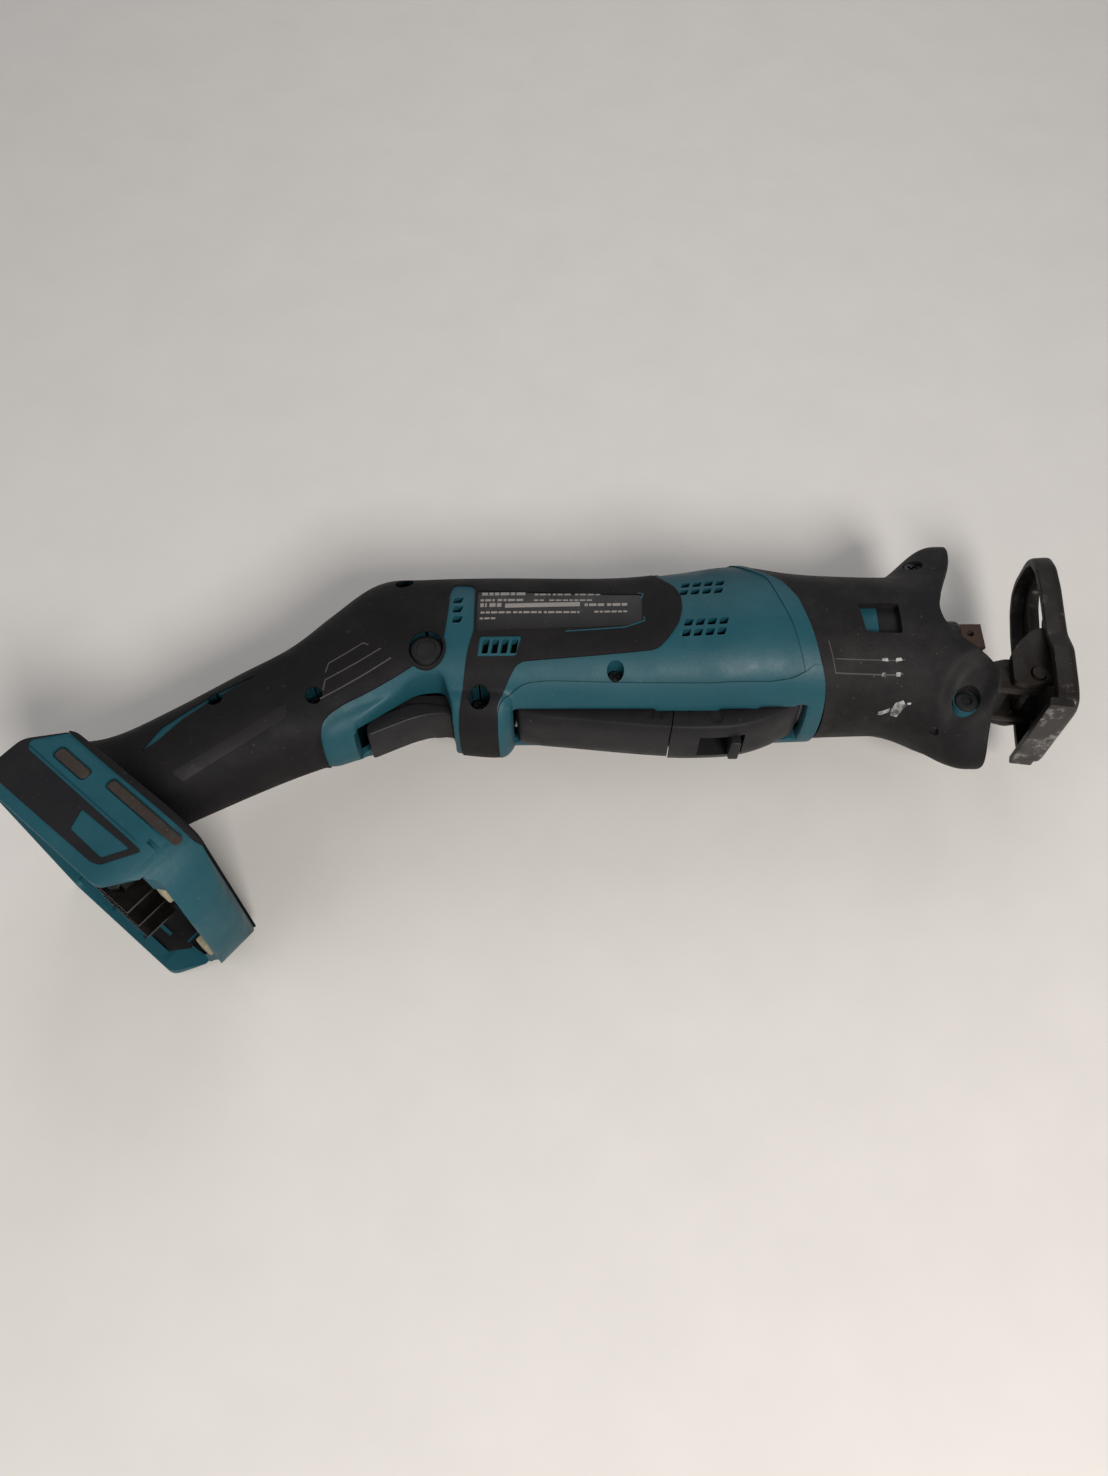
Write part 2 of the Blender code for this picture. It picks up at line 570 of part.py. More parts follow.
# -------------------------------------------------------------------------- drive line
def build_motor():
    """Motor can with its magnets, brush holder and the two shaft bearings."""
    can = ((6.0, -22.0), (18.0, -22.0), (18.0, 40.0), (6.0, 40.0), (6.0, 38.4),
           (16.4, 38.4), (16.4, -20.4), (6.0, -20.4))
    centre = (0, MOTOR_Y, 0)
    turned("motor_can", can, centre, (1, 0, 0), "bare_steel", 28)
    magnets = ((13.6, -12.0), (16.1, -12.0), (16.1, 28.0), (13.6, 28.0))
    turned("motor_magnets", magnets, centre, (1, 0, 0), "black_steel", 24)
    holder = ((6.8, -33.0), (15.5, -33.0), (15.5, -22.4), (6.8, -22.4))
    turned("brush_holder", holder, centre, (1, 0, 0), "black_plastic", 20)
    rear = ((3.3, -36.8), (7.0, -36.8), (7.0, -33.6), (3.3, -33.6))
    turned("motor_bearing_rear", rear, centre, (1, 0, 0), "bare_steel", 18)
    front = ((3.3, 57.0), (8.0, 57.0), (8.0, 61.6), (3.3, 61.6))
    turned("motor_bearing_front", front, centre, (1, 0, 0), "bare_steel", 18)
    rotor = ((0, -36.6), (3.0, -36.6), (3.0, -32.0), (5.6, -32.0), (5.6, -23.0), (3.0, -23.0),
             (3.0, -10.0), (13.0, -10.0), (13.0, 26.0), (3.0, 26.0), (3.0, 66.0),
             (4.1, 66.0), (4.1, 79.0), (0, 79.0))
    turned("armature", rotor, centre, (1, 0, 0), "copper", 18)
    blades = []
    for k in range(11):
        start = 2 * math.pi * k / 11
        for turn, radius in ((0.0, 6.0), (0.2, 17.5), (0.32, 17.5), (0.25, 6.0)):
            angle = start + turn
            blades.append((radius * math.cos(angle), radius * math.sin(angle)))
    fan = prism("fan", blades, 44.0, 52.0, "black_plastic",
                lambda a, b, h: (h, MOTOR_Y + a, b))
    disc = rod("fan_disc", 17.5, (51.0, MOTOR_Y, 0), (53.0, MOTOR_Y, 0), "black_plastic", 24)
    hole = rod("fan_hole", 3.3, (40.0, MOTOR_Y, 0), (60.0, MOTOR_Y, 0), "black_plastic", 14)
    join(fan, disc)
    cut(fan, hole)


def build_crank_and_slider():
    """Crank gear and pin, scotch yoke, slider, blade holder and its twist sleeve."""
    teeth = []
    for k in range(CRANK_TEETH):
        for turn, radius in ((0.0, 15.8), (0.3, 17.0), (0.6, 17.0), (0.9, 15.8)):
            angle = 2 * math.pi * (k + turn) / CRANK_TEETH
            teeth.append((radius * math.cos(angle), radius * math.sin(angle)))
    gear = prism("crank_gear", teeth, 22.0, 28.6, "bare_steel",
                 lambda a, b, h: (CRANK_X + a, h, b))
    shaft = rod("shaft", 4.0, (CRANK_X, 14.2, 0), (CRANK_X, 24.0, 0), "bare_steel", 20)
    join(gear, shaft)
    rod("crank_pin", 3.0, (CRANK_X, 28.9, CRANK_THROW), (CRANK_X, 44.6, CRANK_THROW),
        "bare_steel", 16)
    yoke = block("scotch_yoke", (CRANK_X - 8.3, 38.3, -13.6), (CRANK_X + 8.3, 45.0, 13.6),
                 "bare_steel")
    window = block("window", (CRANK_X - 4.8, 36.0, -10.0), (CRANK_X + 4.8, 47.0, 10.0),
                   "bare_steel")
    cut(yoke, window)
    rod("slider", SLIDER_R, (CRANK_X + 8.6, SLIDER_Y, 0), (146.0, SLIDER_Y, 0),
        "bare_steel", 20)
    tongue = block("blade_holder", (146.3, SLIDER_Y - 3.7, -2.2), (155.0, SLIDER_Y + 6.5, 2.2),
                   "rusty_steel")
    slot = block("blade_slot", (148.0, SLIDER_Y - 7.0, -0.7), (170.0, SLIDER_Y + 2.0, 0.7),
                 "rusty_steel")
    hole = rod("hole", 1.4, (150.6, SLIDER_Y + 2.4, -5), (150.6, SLIDER_Y + 2.4, 5),
               "rusty_steel", 10)
    cut(tongue, slot, hole)
    sleeve = ((SLIDER_R + GAP, 140.4), (7.2, 140.4), (7.6, 141.0), (7.6, 144.8),
              (7.0, 145.6), (SLIDER_R + GAP, 145.6))
    sleeve = turned("clamp_sleeve", sleeve, (0, SLIDER_Y, 0), (1, 0, 0), "black_steel", 20)
    lever = block("sleeve_lever", (141.4, SLIDER_Y - 11.0, -2.4), (144.8, SLIDER_Y - 6.7, 2.4),
                  "black_steel")
    join(sleeve, lever)


# ------------------------------------------------------------------- controls and foot
TRIGGER_SIDE = ((-63.0, -4.0), (-58.0, -1.6), (-49.0, 2.6), (-44.0, 4.2), (-39.0, 4.8),
                (-34.4, 4.2), (-34.6, 8.0), (-37.0, 12.0), (-50.5, 12.0), (-60.5, 5.6),
                (-63.8, 0.0))
PADDLE_REACH = 49.0             # radius of the paddle's front end about its pin
PADDLE_AT = (-8.5, 8.2)


def on_paddle(radius, degrees):
    angle = math.radians(degrees)
    return (PADDLE_AT[0] + radius * math.cos(angle), PADDLE_AT[1] + radius * math.sin(angle))


def build_controls():
    """Trigger and switch, lock-off bar, paddle lever with its guard and lock."""
    prism("trigger", TRIGGER_SIDE, -8.2, 8.2, "black_plastic")
    block("switch_body", (-82.0, 17.5, -8.0), (-59.0, 34.0, 8.0), "black_plastic")
    bar = ((0, -25.2), (5.4, -25.2), (5.4, -12.8), (2.6, -12.8), (2.6, 12.8), (5.4, 12.8),
           (5.4, 25.6), (0, 25.6))
    turned("lock_off_bar", bar, (*BUTTON_AT, 0), (0, 0, 1), "black_plastic", 20)
    rise = math.radians(30)

    def in_grip(a, b, z):
        return (-103.0 + a * math.cos(rise) - b * math.sin(rise),
                2.0 + a * math.sin(rise) + b * math.cos(rise), z)

    prism("controller", ((0, -7), (16, -7), (16, 7), (0, 7)), -11, 11, "black_plastic",
          in_grip)
    front = [on_paddle(PADDLE_REACH, d) for d in (-11.8, -9.0, -6.0, -3.4)]
    outline = [(-12.9, 5.4), (-12.2, 3.8), (-4.0, 2.6), (20.0, 0.1), (36.0, -1.6), *front,
               (30.0, 5.4), (10.0, 8.6), (-2.0, 11.8), (-8.0, 12.6), (-12.6, 10.6)]
    paddle = prism("paddle_lever", outline, -10.0, 10.0, "black_plastic")
    cut(paddle, rod("pin_hole", 1.9, (*PADDLE_AT, -20), (*PADDLE_AT, 20), "black_plastic",
                    12))
    rod("paddle_pin", 1.6, (*PADDLE_AT, -13.6), (*PADDLE_AT, 13.6), "bare_steel", 12)
    build_guard()
    block("paddle_lock", (60.0, -5.6, -5.4), (63.6, 2.8, 5.4), "black_plastic")


GUARD_BOTTOM = ((39.0, -3.5), (46.0, -3.7), (58.0, -3.3), (66.0, -2.0), (74.0, 0.8),
                (80.0, 4.0), (84.0, 6.6))


def build_guard():
    """Fixed fairing between the paddle and the boot, with the slot of the paddle lock."""
    rings = []
    for x, bottom in GUARD_BOTTOM:
        rings.append([(x, 8.6, -10.8), (x, 8.6, 10.8), (x, min(bottom + 3.5, 8.0), 10.8),
                      (x, bottom + 0.9, 9.4), (x, bottom, 6.5), (x, bottom, -6.5),
                      (x, bottom + 0.9, -9.4), (x, min(bottom + 3.5, 8.0), -10.8)])
    guard = skin("paddle_guard", rings, "black_plastic")
    sweep = rod("sweep", PADDLE_REACH + 0.7, (*PADDLE_AT, -30), (*PADDLE_AT, 30),
                "black_plastic", 96)
    channel = block("channel", (49.5, -15.0, -6.0), (65.0, 3.4, 6.0), "black_plastic")
    cut(guard, sweep, channel)


def build_foot_parts():
    """Battery terminals under the ceiling of the foot."""
    def slab(name, s0, s1, n0, n1, w0, w1, slot):
        prism(name, ((s0, n0), (s1, n0), (s1, n1), (s0, n1)), w0, w1, slot, foot_point)
    slab("terminal_block", -86.0, -64.0, -131.0, -121.4, -19.0, 19.0, "black_plastic")
    blade = ((-80.0, -131.3), (-80.0, -136.0), (-58.0, -136.0), (-58.0, -124.0),
             (-63.7, -124.0), (-63.7, -131.3))
    for name, w0, w1, slot in (("terminal_positive", 10.0, 11.0, "bare_steel"),
                               ("terminal_negative", -11.0, -10.0, "bare_steel"),
                               ("terminal_signal", -1.0, -0.2, "brass")):
        prism(name, blade, w0, w1, slot, foot_point)


# ------------------------------------------------------------------------ shoe, bracket
SHOE_PIN_AT = (166.0, 17.5)
EAR_IN, EAR_OUT = 7.4, 10.4
SHOE_SIDE = ((20.2, 3.2), (21.5, 8.0), (21.5, 24.0), (17.5, 33.0), (17.0, 54.0),
             (15.0, 63.0), (10.0, 70.5), (4.5, 73.6))
SHOE_TILT = math.radians(-7.0)  # the shoe hangs with its top a little forward


def build_shoe():
    """Formed shoe plate with a folded rim, on a pin through the sliding bracket."""
    right = [(w, y) for w, y in SHOE_SIDE]
    outline = [(-w, y) for w, y in reversed(right)] + [(-16.0, 1.0), (16.0, 1.0)] + right
    outline = outline[::-1]
    front, back = SHOE_FRONT_X, SHOE_FRONT_X - SHOE_THICK

    def plate(name, shrink, x0, x1):
        ring = []
        for w, y in outline:
            ring.append((w - math.copysign(shrink, w), y + (shrink if y < 30 else -shrink)))
        return skin(name, [[(x, y, w) for w, y in ring] for x in (x0, x1)], "black_steel")

    rings = []
    for x, shrink in ((back - 3.5, 1.2), (front - 3.0, 0.0), (front - 0.6, 0.6),
                      (front, 2.6)):
        rings.append([(x, y + (shrink if y < 30 else -shrink), w - math.copysign(shrink, w))
                      for w, y in outline])
    shoe = skin("shoe", rings, "black_steel")
    dish = plate("dish", 3.0, back - 9.0, front - 3.2)
    slot = block("blade_way", (back - 9.0, 28.0, -3.4), (front + 2.0, 48.0, 3.4),
                 "black_steel")
    wide = block("sight_way", (back - 9.0, 46.0, -6.0), (front + 2.0, 65.5, 6.0),
                 "black_steel")
    cut(shoe, dish, slot, wide)
    lugs = [block(f"lug_{k}", (SHOE_PIN_AT[0] - 4.5, 12.5, w0), (front - 2.5, 22.5, w0 + 3.0),
                  "black_steel") for k, w0 in enumerate((EAR_OUT + 0.4, -EAR_OUT - 3.4))]
    join(shoe, *lugs)
    cut(shoe, rod("pin_way", 2.8, (*SHOE_PIN_AT, -30), (*SHOE_PIN_AT, 30), "black_steel",
                  14))
    pin = Vector((*SHOE_PIN_AT, 0.0)) * MM
    swing = (Matrix.Translation(pin) @ Matrix.Rotation(SHOE_TILT, 4, "Z")
             @ Matrix.Translation(-pin))
    shoe.data.transform(swing)
    bar = block("shoe_bracket", (114.0, GUIDE_LOW, -GUIDE_HALF), (158.0, GUIDE_HIGH,
                                                                GUIDE_HALF), "black_steel")
    ears = []
    for k, sign in enumerate((1, -1)):
        side = ((148.0, GUIDE_LOW), (161.0, 12.8), (SHOE_PIN_AT[0] + 1.5, 12.8),
                (SHOE_PIN_AT[0] + 4.6, 15.6), (SHOE_PIN_AT[0] + 4.6, 19.4),
                (SHOE_PIN_AT[0] + 1.5, 22.2), (158.0, 26.0), (150.0, 24.0),
                (146.0, GUIDE_HIGH))
        ears.append(prism(f"ear_{k}", side, sign * EAR_IN, sign * EAR_OUT, "black_steel"))
    join(bar, *ears)
    cut(bar, rod("ear_hole", 2.8, (*SHOE_PIN_AT, -30), (*SHOE_PIN_AT, 30), "black_steel",
                 14))
    rod("shoe_pin", 2.4, (*SHOE_PIN_AT, -14.6), (*SHOE_PIN_AT, 14.6), "bare_steel", 14)
    x, y = SHOE_BUTTON_AT
    rod("shoe_lock_button", 3.8, (x, y, 8.5), (x, y, 18.0), "black_plastic", 16)


def settle():
    """Moves every piece from the tool's design frame to the frame of the part."""
    offset = Vector((*TOOL_SHIFT, FOOT_HALF)) * MM
    for obj in bpy.data.objects:
        obj.data.transform(Matrix.Translation(offset))
        obj.data.update()


clear_scene()
build_housing()
build_housing_trim()
build_boot()
build_gear_case()
build_motor()
build_crank_and_slider()
build_controls()
build_foot_parts()
build_shoe()
settle()
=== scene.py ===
import math

import bmesh
import bpy
from mathutils import Matrix, Vector

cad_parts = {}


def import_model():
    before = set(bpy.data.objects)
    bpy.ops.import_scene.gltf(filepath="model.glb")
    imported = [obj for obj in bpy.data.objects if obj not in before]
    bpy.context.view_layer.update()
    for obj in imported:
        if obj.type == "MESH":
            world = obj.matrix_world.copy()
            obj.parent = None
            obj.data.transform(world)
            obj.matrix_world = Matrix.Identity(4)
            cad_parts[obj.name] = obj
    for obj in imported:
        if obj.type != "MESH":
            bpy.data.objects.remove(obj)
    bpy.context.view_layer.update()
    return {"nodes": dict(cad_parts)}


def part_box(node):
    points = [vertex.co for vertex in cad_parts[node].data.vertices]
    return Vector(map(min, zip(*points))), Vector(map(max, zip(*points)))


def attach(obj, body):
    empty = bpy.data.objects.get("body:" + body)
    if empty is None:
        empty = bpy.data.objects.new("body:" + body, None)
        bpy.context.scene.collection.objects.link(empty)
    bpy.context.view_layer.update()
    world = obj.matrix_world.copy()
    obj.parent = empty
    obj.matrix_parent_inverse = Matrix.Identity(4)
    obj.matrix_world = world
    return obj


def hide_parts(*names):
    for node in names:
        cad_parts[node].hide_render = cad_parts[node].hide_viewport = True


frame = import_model()

MM = 0.001
gear_low, gear_high = (Vector(v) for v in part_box("crank_gear"))
# The tool's own frame: millimetres, x = 90 on the crank, z = 0 on the joint of the halves.
SHIFT = Vector(((gear_low.x + gear_high.x) / 2 * 1000 - 90.0, gear_low.y * 1000 - 14.2,
                (gear_low.z + gear_high.z) / 2 * 1000))
VOXEL = 0.8

# ------------------------------------------------------------------ shapes of the tool
BODY = (
    (-153.0, -27.0, 34, 25.0, 27.0, 23.0),
    (-146.0, -22.6, 32, 19.5, 22.0, 19.0),
    (-137.0, -17.3, 30, 17.3, 18.2, 16.8),
    (-120.0, -7.5, 30, 17.8, 18.2, 17.0),
    (-100.0, 4.0, 30, 19.5, 19.3, 18.0),
    (-83.0, 13.8, 28, 20.5, 21.5, 19.5),
    (-69.0, 21.0, 22, 26.5, 22.0, 22.0),
    (-56.5, 26.5, 11, 33.0, 23.0, 25.0),
    (-44.0, 30.0, 3, 29.5, 25.5, 27.0),
    (-20.0, 31.0, 0, 28.5, 27.5, 28.0),
    (20.0, 31.0, 0, 28.3, 27.5, 28.3),
    (42.0, 31.5, 0, 30.0, 28.0, 29.5),
    (60.0, 32.0, 0, 32.2, 28.2, 31.0),
    (76.0, 33.0, 0, 31.0, 28.0, 30.6),
    (92.6, 33.8, 0, 29.0, 28.4, 29.5),
)
KEEL = (
    (-86.0, 4.0, 12.0, 10.0, 12.0),
    (-77.0, 3.0, 14.0, 11.5, 14.0),
    (-66.0, 6.0, 16.0, 10.5, 15.0),
    (-48.0, 9.0, 16.0, 9.0, 16.5),
    (-32.0, 9.0, 16.0, 10.8, 17.5),
    (-19.0, 9.0, 16.0, 12.0, 17.5),
    (-15.0, 10.0, 16.0, 9.5, 17.0),
    (-11.0, 12.0, 14.0, 7.8, 16.5),
    (30.0, 13.0, 12.0, 8.8, 17.0),
    (60.0, 13.5, 12.0, 8.6, 17.5),
    (76.0, 15.0, 12.0, 8.2, 17.5),
    (86.0, 17.0, 12.0, 7.0, 17.0),
)
OVERMOLD = (
    (-77.0, -30.0), (-77.4, -9.5), (-78.1, -5.5), (-77.4, -2.0), (-74.9, 0.6), (-70.1, 3.7),
    (-60.4, 8.3), (-51.3, 12.6), (-45.0, 15.6), (-39.8, 17.0), (-37.4, 20.0), (-36.5, 26.6),
    (-35.8, 33.5), (-35.6, 42.8), (-34.9, 46.3), (-33.2, 47.2), (-28.6, 46.6), (-27.0, 45.0),
    (-26.8, 25.6), (-28.8, 18.5), (-29.9, 11.5), (-31.3, 3.3), (-32.3, -3.0), (-33.0, -30.0),
    (-19.0, -30.0), (-18.8, -1.7), (-19.2, 1.4), (-18.6, 4.5), (-16.2, 8.9), (-12.8, 14.0),
    (-10.5, 15.3), (5.7, 16.4), (33.0, 18.4), (35.2, 19.2), (38.5, 22.5), (41.9, 27.8),
    (43.2, 33.0), (43.2, 38.0), (41.5, 43.0), (38.0, 47.5), (35.5, 52.0), (34.0, 56.0),
    (33.0, 90.0), (-100.0, 90.0), (-200.0, 20.0), (-200.0, -90.0), (-77.0, -90.0),
)
TRIGGER_BAY = ((-66.7, -30.0), (-66.7, -1.0), (-65.4, -0.6), (-47.4, 12.2), (-40.5, 13.2),
               (-37.4, 12.6), (-34.6, 5.0), (-32.5, -30.0))
FRONT_SEAM = ((60.0, 90.0), (64.2, 62.5), (66.0, 58.0), (69.5, 53.0), (78.0, 45.3),
              (82.6, 37.2), (85.6, 27.4), (88.9, 15.4), (91.0, 9.1), (91.8, 4.5),
              (91.8, -30.0))
LIP = ((-18.9, -30.0), (-18.8, 1.5), (-17.0, 5.0), (-12.6, 8.0), (-8.9, 9.3), (-1.6, 9.8),
       (25.9, 9.3), (53.3, 8.8), (71.7, 9.5), (80.0, 10.6), (84.6, 12.5), (86.5, 14.0),
       (97.0, 14.0), (97.0, -30.0))
RING_BAND = ((60.0, 75.0), (62.0, 60.5), (66.0, 54.0), (72.9, 47.5), (75.8, 38.3),
             (79.8, 27.2), (82.1, 18.3), (84.6, 10.0), (85.4, 4.0), (85.4, -20.0),
             (110.0, -20.0), (110.0, 75.0))
SCREWS = ((-25.0, 5.6, 9.5, 3.7), (20.5, 12.8, 17.0, 2.9), (-80.1, 5.7, 12.0, 2.9),
          (-52.5, 50.5, 11.0, 3.2), (-113.5, 5.5, 9.5, 2.8), (37.0, 57.6, 11.5, 3.2))
BUTTON_AT = (-42.8, 19.9)
LABEL = (-26.0, 29.5, 25.5, 42.5)

FOOT_ANGLE = math.radians(-39.4)
FOOT_S = Vector((math.cos(FOOT_ANGLE), math.sin(FOOT_ANGLE)))
FOOT_N = Vector((-math.sin(FOOT_ANGLE), math.cos(FOOT_ANGLE)))
FOOT_HALF = 40.0
FOOT_SIDE = (
    (-110.0, -138.0), (-110.0, -121.0), (-100.0, -109.5), (-46.0, -108.5), (-38.5, -112.0),
    (-35.0, -118.5), (-36.0, -126.5), (-46.0, -124.5), (-56.0, -138.0),
)

GUARD_RIM = (
    (0.0, 81.5, 146.3), (4.0, 80.6, 146.3), (7.5, 77.8, 146.0), (10.8, 72.6, 145.0),
    (13.4, 66.0, 143.0), (18.0, 54.0, 138.0), (22.8, 44.6, 134.4), (25.2, 36.8, 132.3),
    (27.2, 28.0, 133.6), (29.0, 19.2, 139.5), (29.5, 14.0, 144.5), (27.5, 8.0, 147.0),
    (21.0, 1.5, 145.6), (12.0, -5.0, 145.4), (5.0, -9.6, 145.8), (0.0, -11.0, 146.0),
)
BOOT_Y = 33.5
BOOT_R = 28.4
FLARE_X = 113.0
SHOE_BUTTON_AT = (137.5, 4.0)
BOOT_SCREW_AT = (131.0, 66.0)

TRIGGER_SIDE = ((-63.0, -4.0), (-58.0, -1.6), (-49.0, 2.6), (-44.0, 4.2), (-39.0, 4.8),
                (-34.4, 4.2), (-34.6, 8.0), (-37.0, 12.0), (-50.5, 12.0), (-60.5, 5.6),
                (-63.8, 0.0))
PADDLE_AT = (-8.5, 8.2)
PADDLE_REACH = 49.0
GUARD_BOTTOM = ((39.0, -3.5), (46.0, -3.7), (58.0, -3.3), (66.0, -2.0), (74.0, 0.8),
                (80.0, 4.0), (84.0, 6.6))
SHOE_PIN_AT = (166.0, 17.5)
SHOE_SIDE = ((17.0, 0.8), (20.6, 3.2), (21.5, 8.0), (21.5, 24.0), (17.5, 33.0),
             (16.8, 54.0), (15.0, 65.0), (11.5, 71.6), (6.0, 74.4))
SHOE_FRONT = 176.2
SHOE_TILT = math.radians(-7.0)


# ---------------------------------------------------------------------- mesh functions
def world(point):
    return (Vector(point) + SHIFT) * MM


def object_from(name, bm):
    bmesh.ops.recalc_face_normals(bm, faces=bm.faces)
    mesh = bpy.data.meshes.new(name)
    bm.to_mesh(mesh)
    bm.free()
    obj = bpy.data.objects.new(name, mesh)
    bpy.context.scene.collection.objects.link(obj)
    return obj


def skin(name, rings, closed=False):
    bm = bmesh.new()
    rows = [[bm.verts.new(world(p)) for p in ring] for ring in rings]
    count = len(rows[0])
    pairs = list(zip(rows, rows[1:]))
    if closed:
        pairs.append((rows[-1], rows[0]))
    for a, b in pairs:
        for i in range(count):
            j = (i + 1) % count
            bm.faces.new((a[i], a[j], b[j], b[i]))
    if not closed:
        bm.faces.new(rows[0])
        bm.faces.new(reversed(rows[-1]))
    return object_from(name, bm)


def prism(name, outline, low, high, place=None):
    place = place or (lambda x, y, z: (x, y, z))
    return skin(name, [[place(x, y, z) for x, y in outline] for z in (low, high)])


def block(name, low, high):
    (x0, y0, z0), (x1, y1, z1) = low, high
    return prism(name, ((x0, y0), (x1, y0), (x1, y1), (x0, y1)), z0, z1)


def turned(name, profile, centre, axis, segments=48):
    """A turned piece: (radius, distance) points round an axis; radius 0 closes an end."""
    along = Vector(axis).normalized()
    side = along.orthogonal().normalized()
    other = along.cross(side)
    origin = Vector(centre)
    bm = bmesh.new()
    rows = []
    for r, h in profile:
        if r == 0:
            rows.append([bm.verts.new(world(origin + along * h))])
            continue
        row = []
        for i in range(segments):
            a = 2 * math.pi * (i + 0.5) / segments
            row.append(bm.verts.new(world(origin + along * h
                                          + (side * math.cos(a) + other * math.sin(a)) * r)))
        rows.append(row)
    pairs = list(zip(rows, rows[1:]))
    if len(rows[0]) > 1:
        pairs.append((rows[-1], rows[0]))
    for a, b in pairs:
        for i in range(segments):
            j = (i + 1) % segments
            if len(a) == 1:
                bm.faces.new((a[0], b[j], b[i]))
            elif len(b) == 1:
                bm.faces.new((a[i], a[j], b[0]))
            else:
                bm.faces.new((a[i], a[j], b[j], b[i]))
    return object_from(name, bm)


def rod(name, radius, start, end, segments=40):
    length = (Vector(end) - Vector(start)).length
    profile = ((0, 0), (radius, 0), (radius, length), (0, length))
    return turned(name, profile, start, Vector(end) - Vector(start), segments)


def curve_points(points, steps, closed=False):
    """Catmull-Rom points through tuples of any length."""
    count = len(points)
    spans = count if closed else count - 1
    out = []
    for i in range(spans):
        if closed:
            p = [points[(i + k) % count] for k in (-1, 0, 1, 2)]
        else:
            p = [points[max(0, min(count - 1, i + k))] for k in (-1, 0, 1, 2)]
        for s in range(steps):
            t = s / steps
            out.append(tuple(
                0.5 * (2 * b + (c - a) * t + (2 * a - 5 * b + 4 * c - d) * t * t
                       + (3 * b - a - 3 * c + d) * t ** 3)
                for a, b, c, d in zip(*p)))
    if not closed:
        out.append(tuple(points[-1]))
    return out


def rounded(outline, radius, steps=5):
    """A flat outline with its corners turned into arcs of about `radius`."""
    out = []
    count = len(outline)
    for i in range(count):
        a, b, c = (Vector(outline[(i + k) % count]) for k in (-1, 0, 1))
        reach = min(radius, (a - b).length * 0.45, (c - b).length * 0.45)
        start = b + (a - b).normalized() * reach
        end = b + (c - b).normalized() * reach
        for s in range(steps + 1):
            t = s / steps
            out.append(tuple(start * (1 - t) ** 2 + b * 2 * t * (1 - t) + end * t * t))
    return out


def applied(obj):
    graph = bpy.context.evaluated_depsgraph_get()
    mesh = bpy.data.meshes.new_from_object(obj.evaluated_get(graph))
    obj.modifiers.clear()
    old = obj.data
    obj.data = mesh
    bpy.data.meshes.remove(old)
    return obj


def combine(target, others, operation, solver="MANIFOLD", keep=False):
    for other in others:
        mod = target.modifiers.new("bool", "BOOLEAN")
        mod.operation = operation
        mod.solver = solver
        mod.object = other
        applied(target)
        if not keep:
            bpy.data.objects.remove(other)
    return target


def cut(target, *others, solver="MANIFOLD", keep=False):
    return combine(target, others, "DIFFERENCE", solver, keep)


def join(target, *others, solver="MANIFOLD"):
    return combine(target, others, "UNION", solver)


def within(target, other, solver="MANIFOLD", keep=False):
    return combine(target, (other,), "INTERSECT", solver, keep)


def copy_of(obj, name):
    twin = bpy.data.objects.new(name, obj.data.copy())
    bpy.context.scene.collection.objects.link(twin)
    return twin


def remeshed(obj, voxel, smooth):
    mod = obj.modifiers.new("remesh", "REMESH")
    mod.mode = "VOXEL"
    mod.voxel_size = voxel * MM
    applied(obj)
    if smooth:
        mod = obj.modifiers.new("smooth", "SMOOTH")
        mod.factor = 0.5
        mod.iterations = smooth
        applied(obj)
    return obj


def puffed(obj, name, amount):
    """A copy whose surface stands `amount` millimetres further out."""
    twin = copy_of(obj, name)
    mesh = twin.data
    normals = [v.normal.copy() for v in mesh.vertices]
    for v, n in zip(mesh.vertices, normals):
        v.co += n * amount * MM
    return twin


def bevelled(obj, width, segments=3, angle=35):
    mod = obj.modifiers.new("bevel", "BEVEL")
    mod.width = width * MM
    mod.segments = segments
    mod.limit_method = "ANGLE"
    mod.angle_limit = math.radians(angle)
    return applied(obj)


def piece(obj, body, material, replaces=(), sharp=38):
    obj.data.materials.clear()
    obj.data.materials.append(material)
    obj.data.shade_smooth()
    obj.data.set_sharp_from_angle(angle=math.radians(sharp))
    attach(obj, body)
    if replaces:
        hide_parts(*replaces)
    return obj


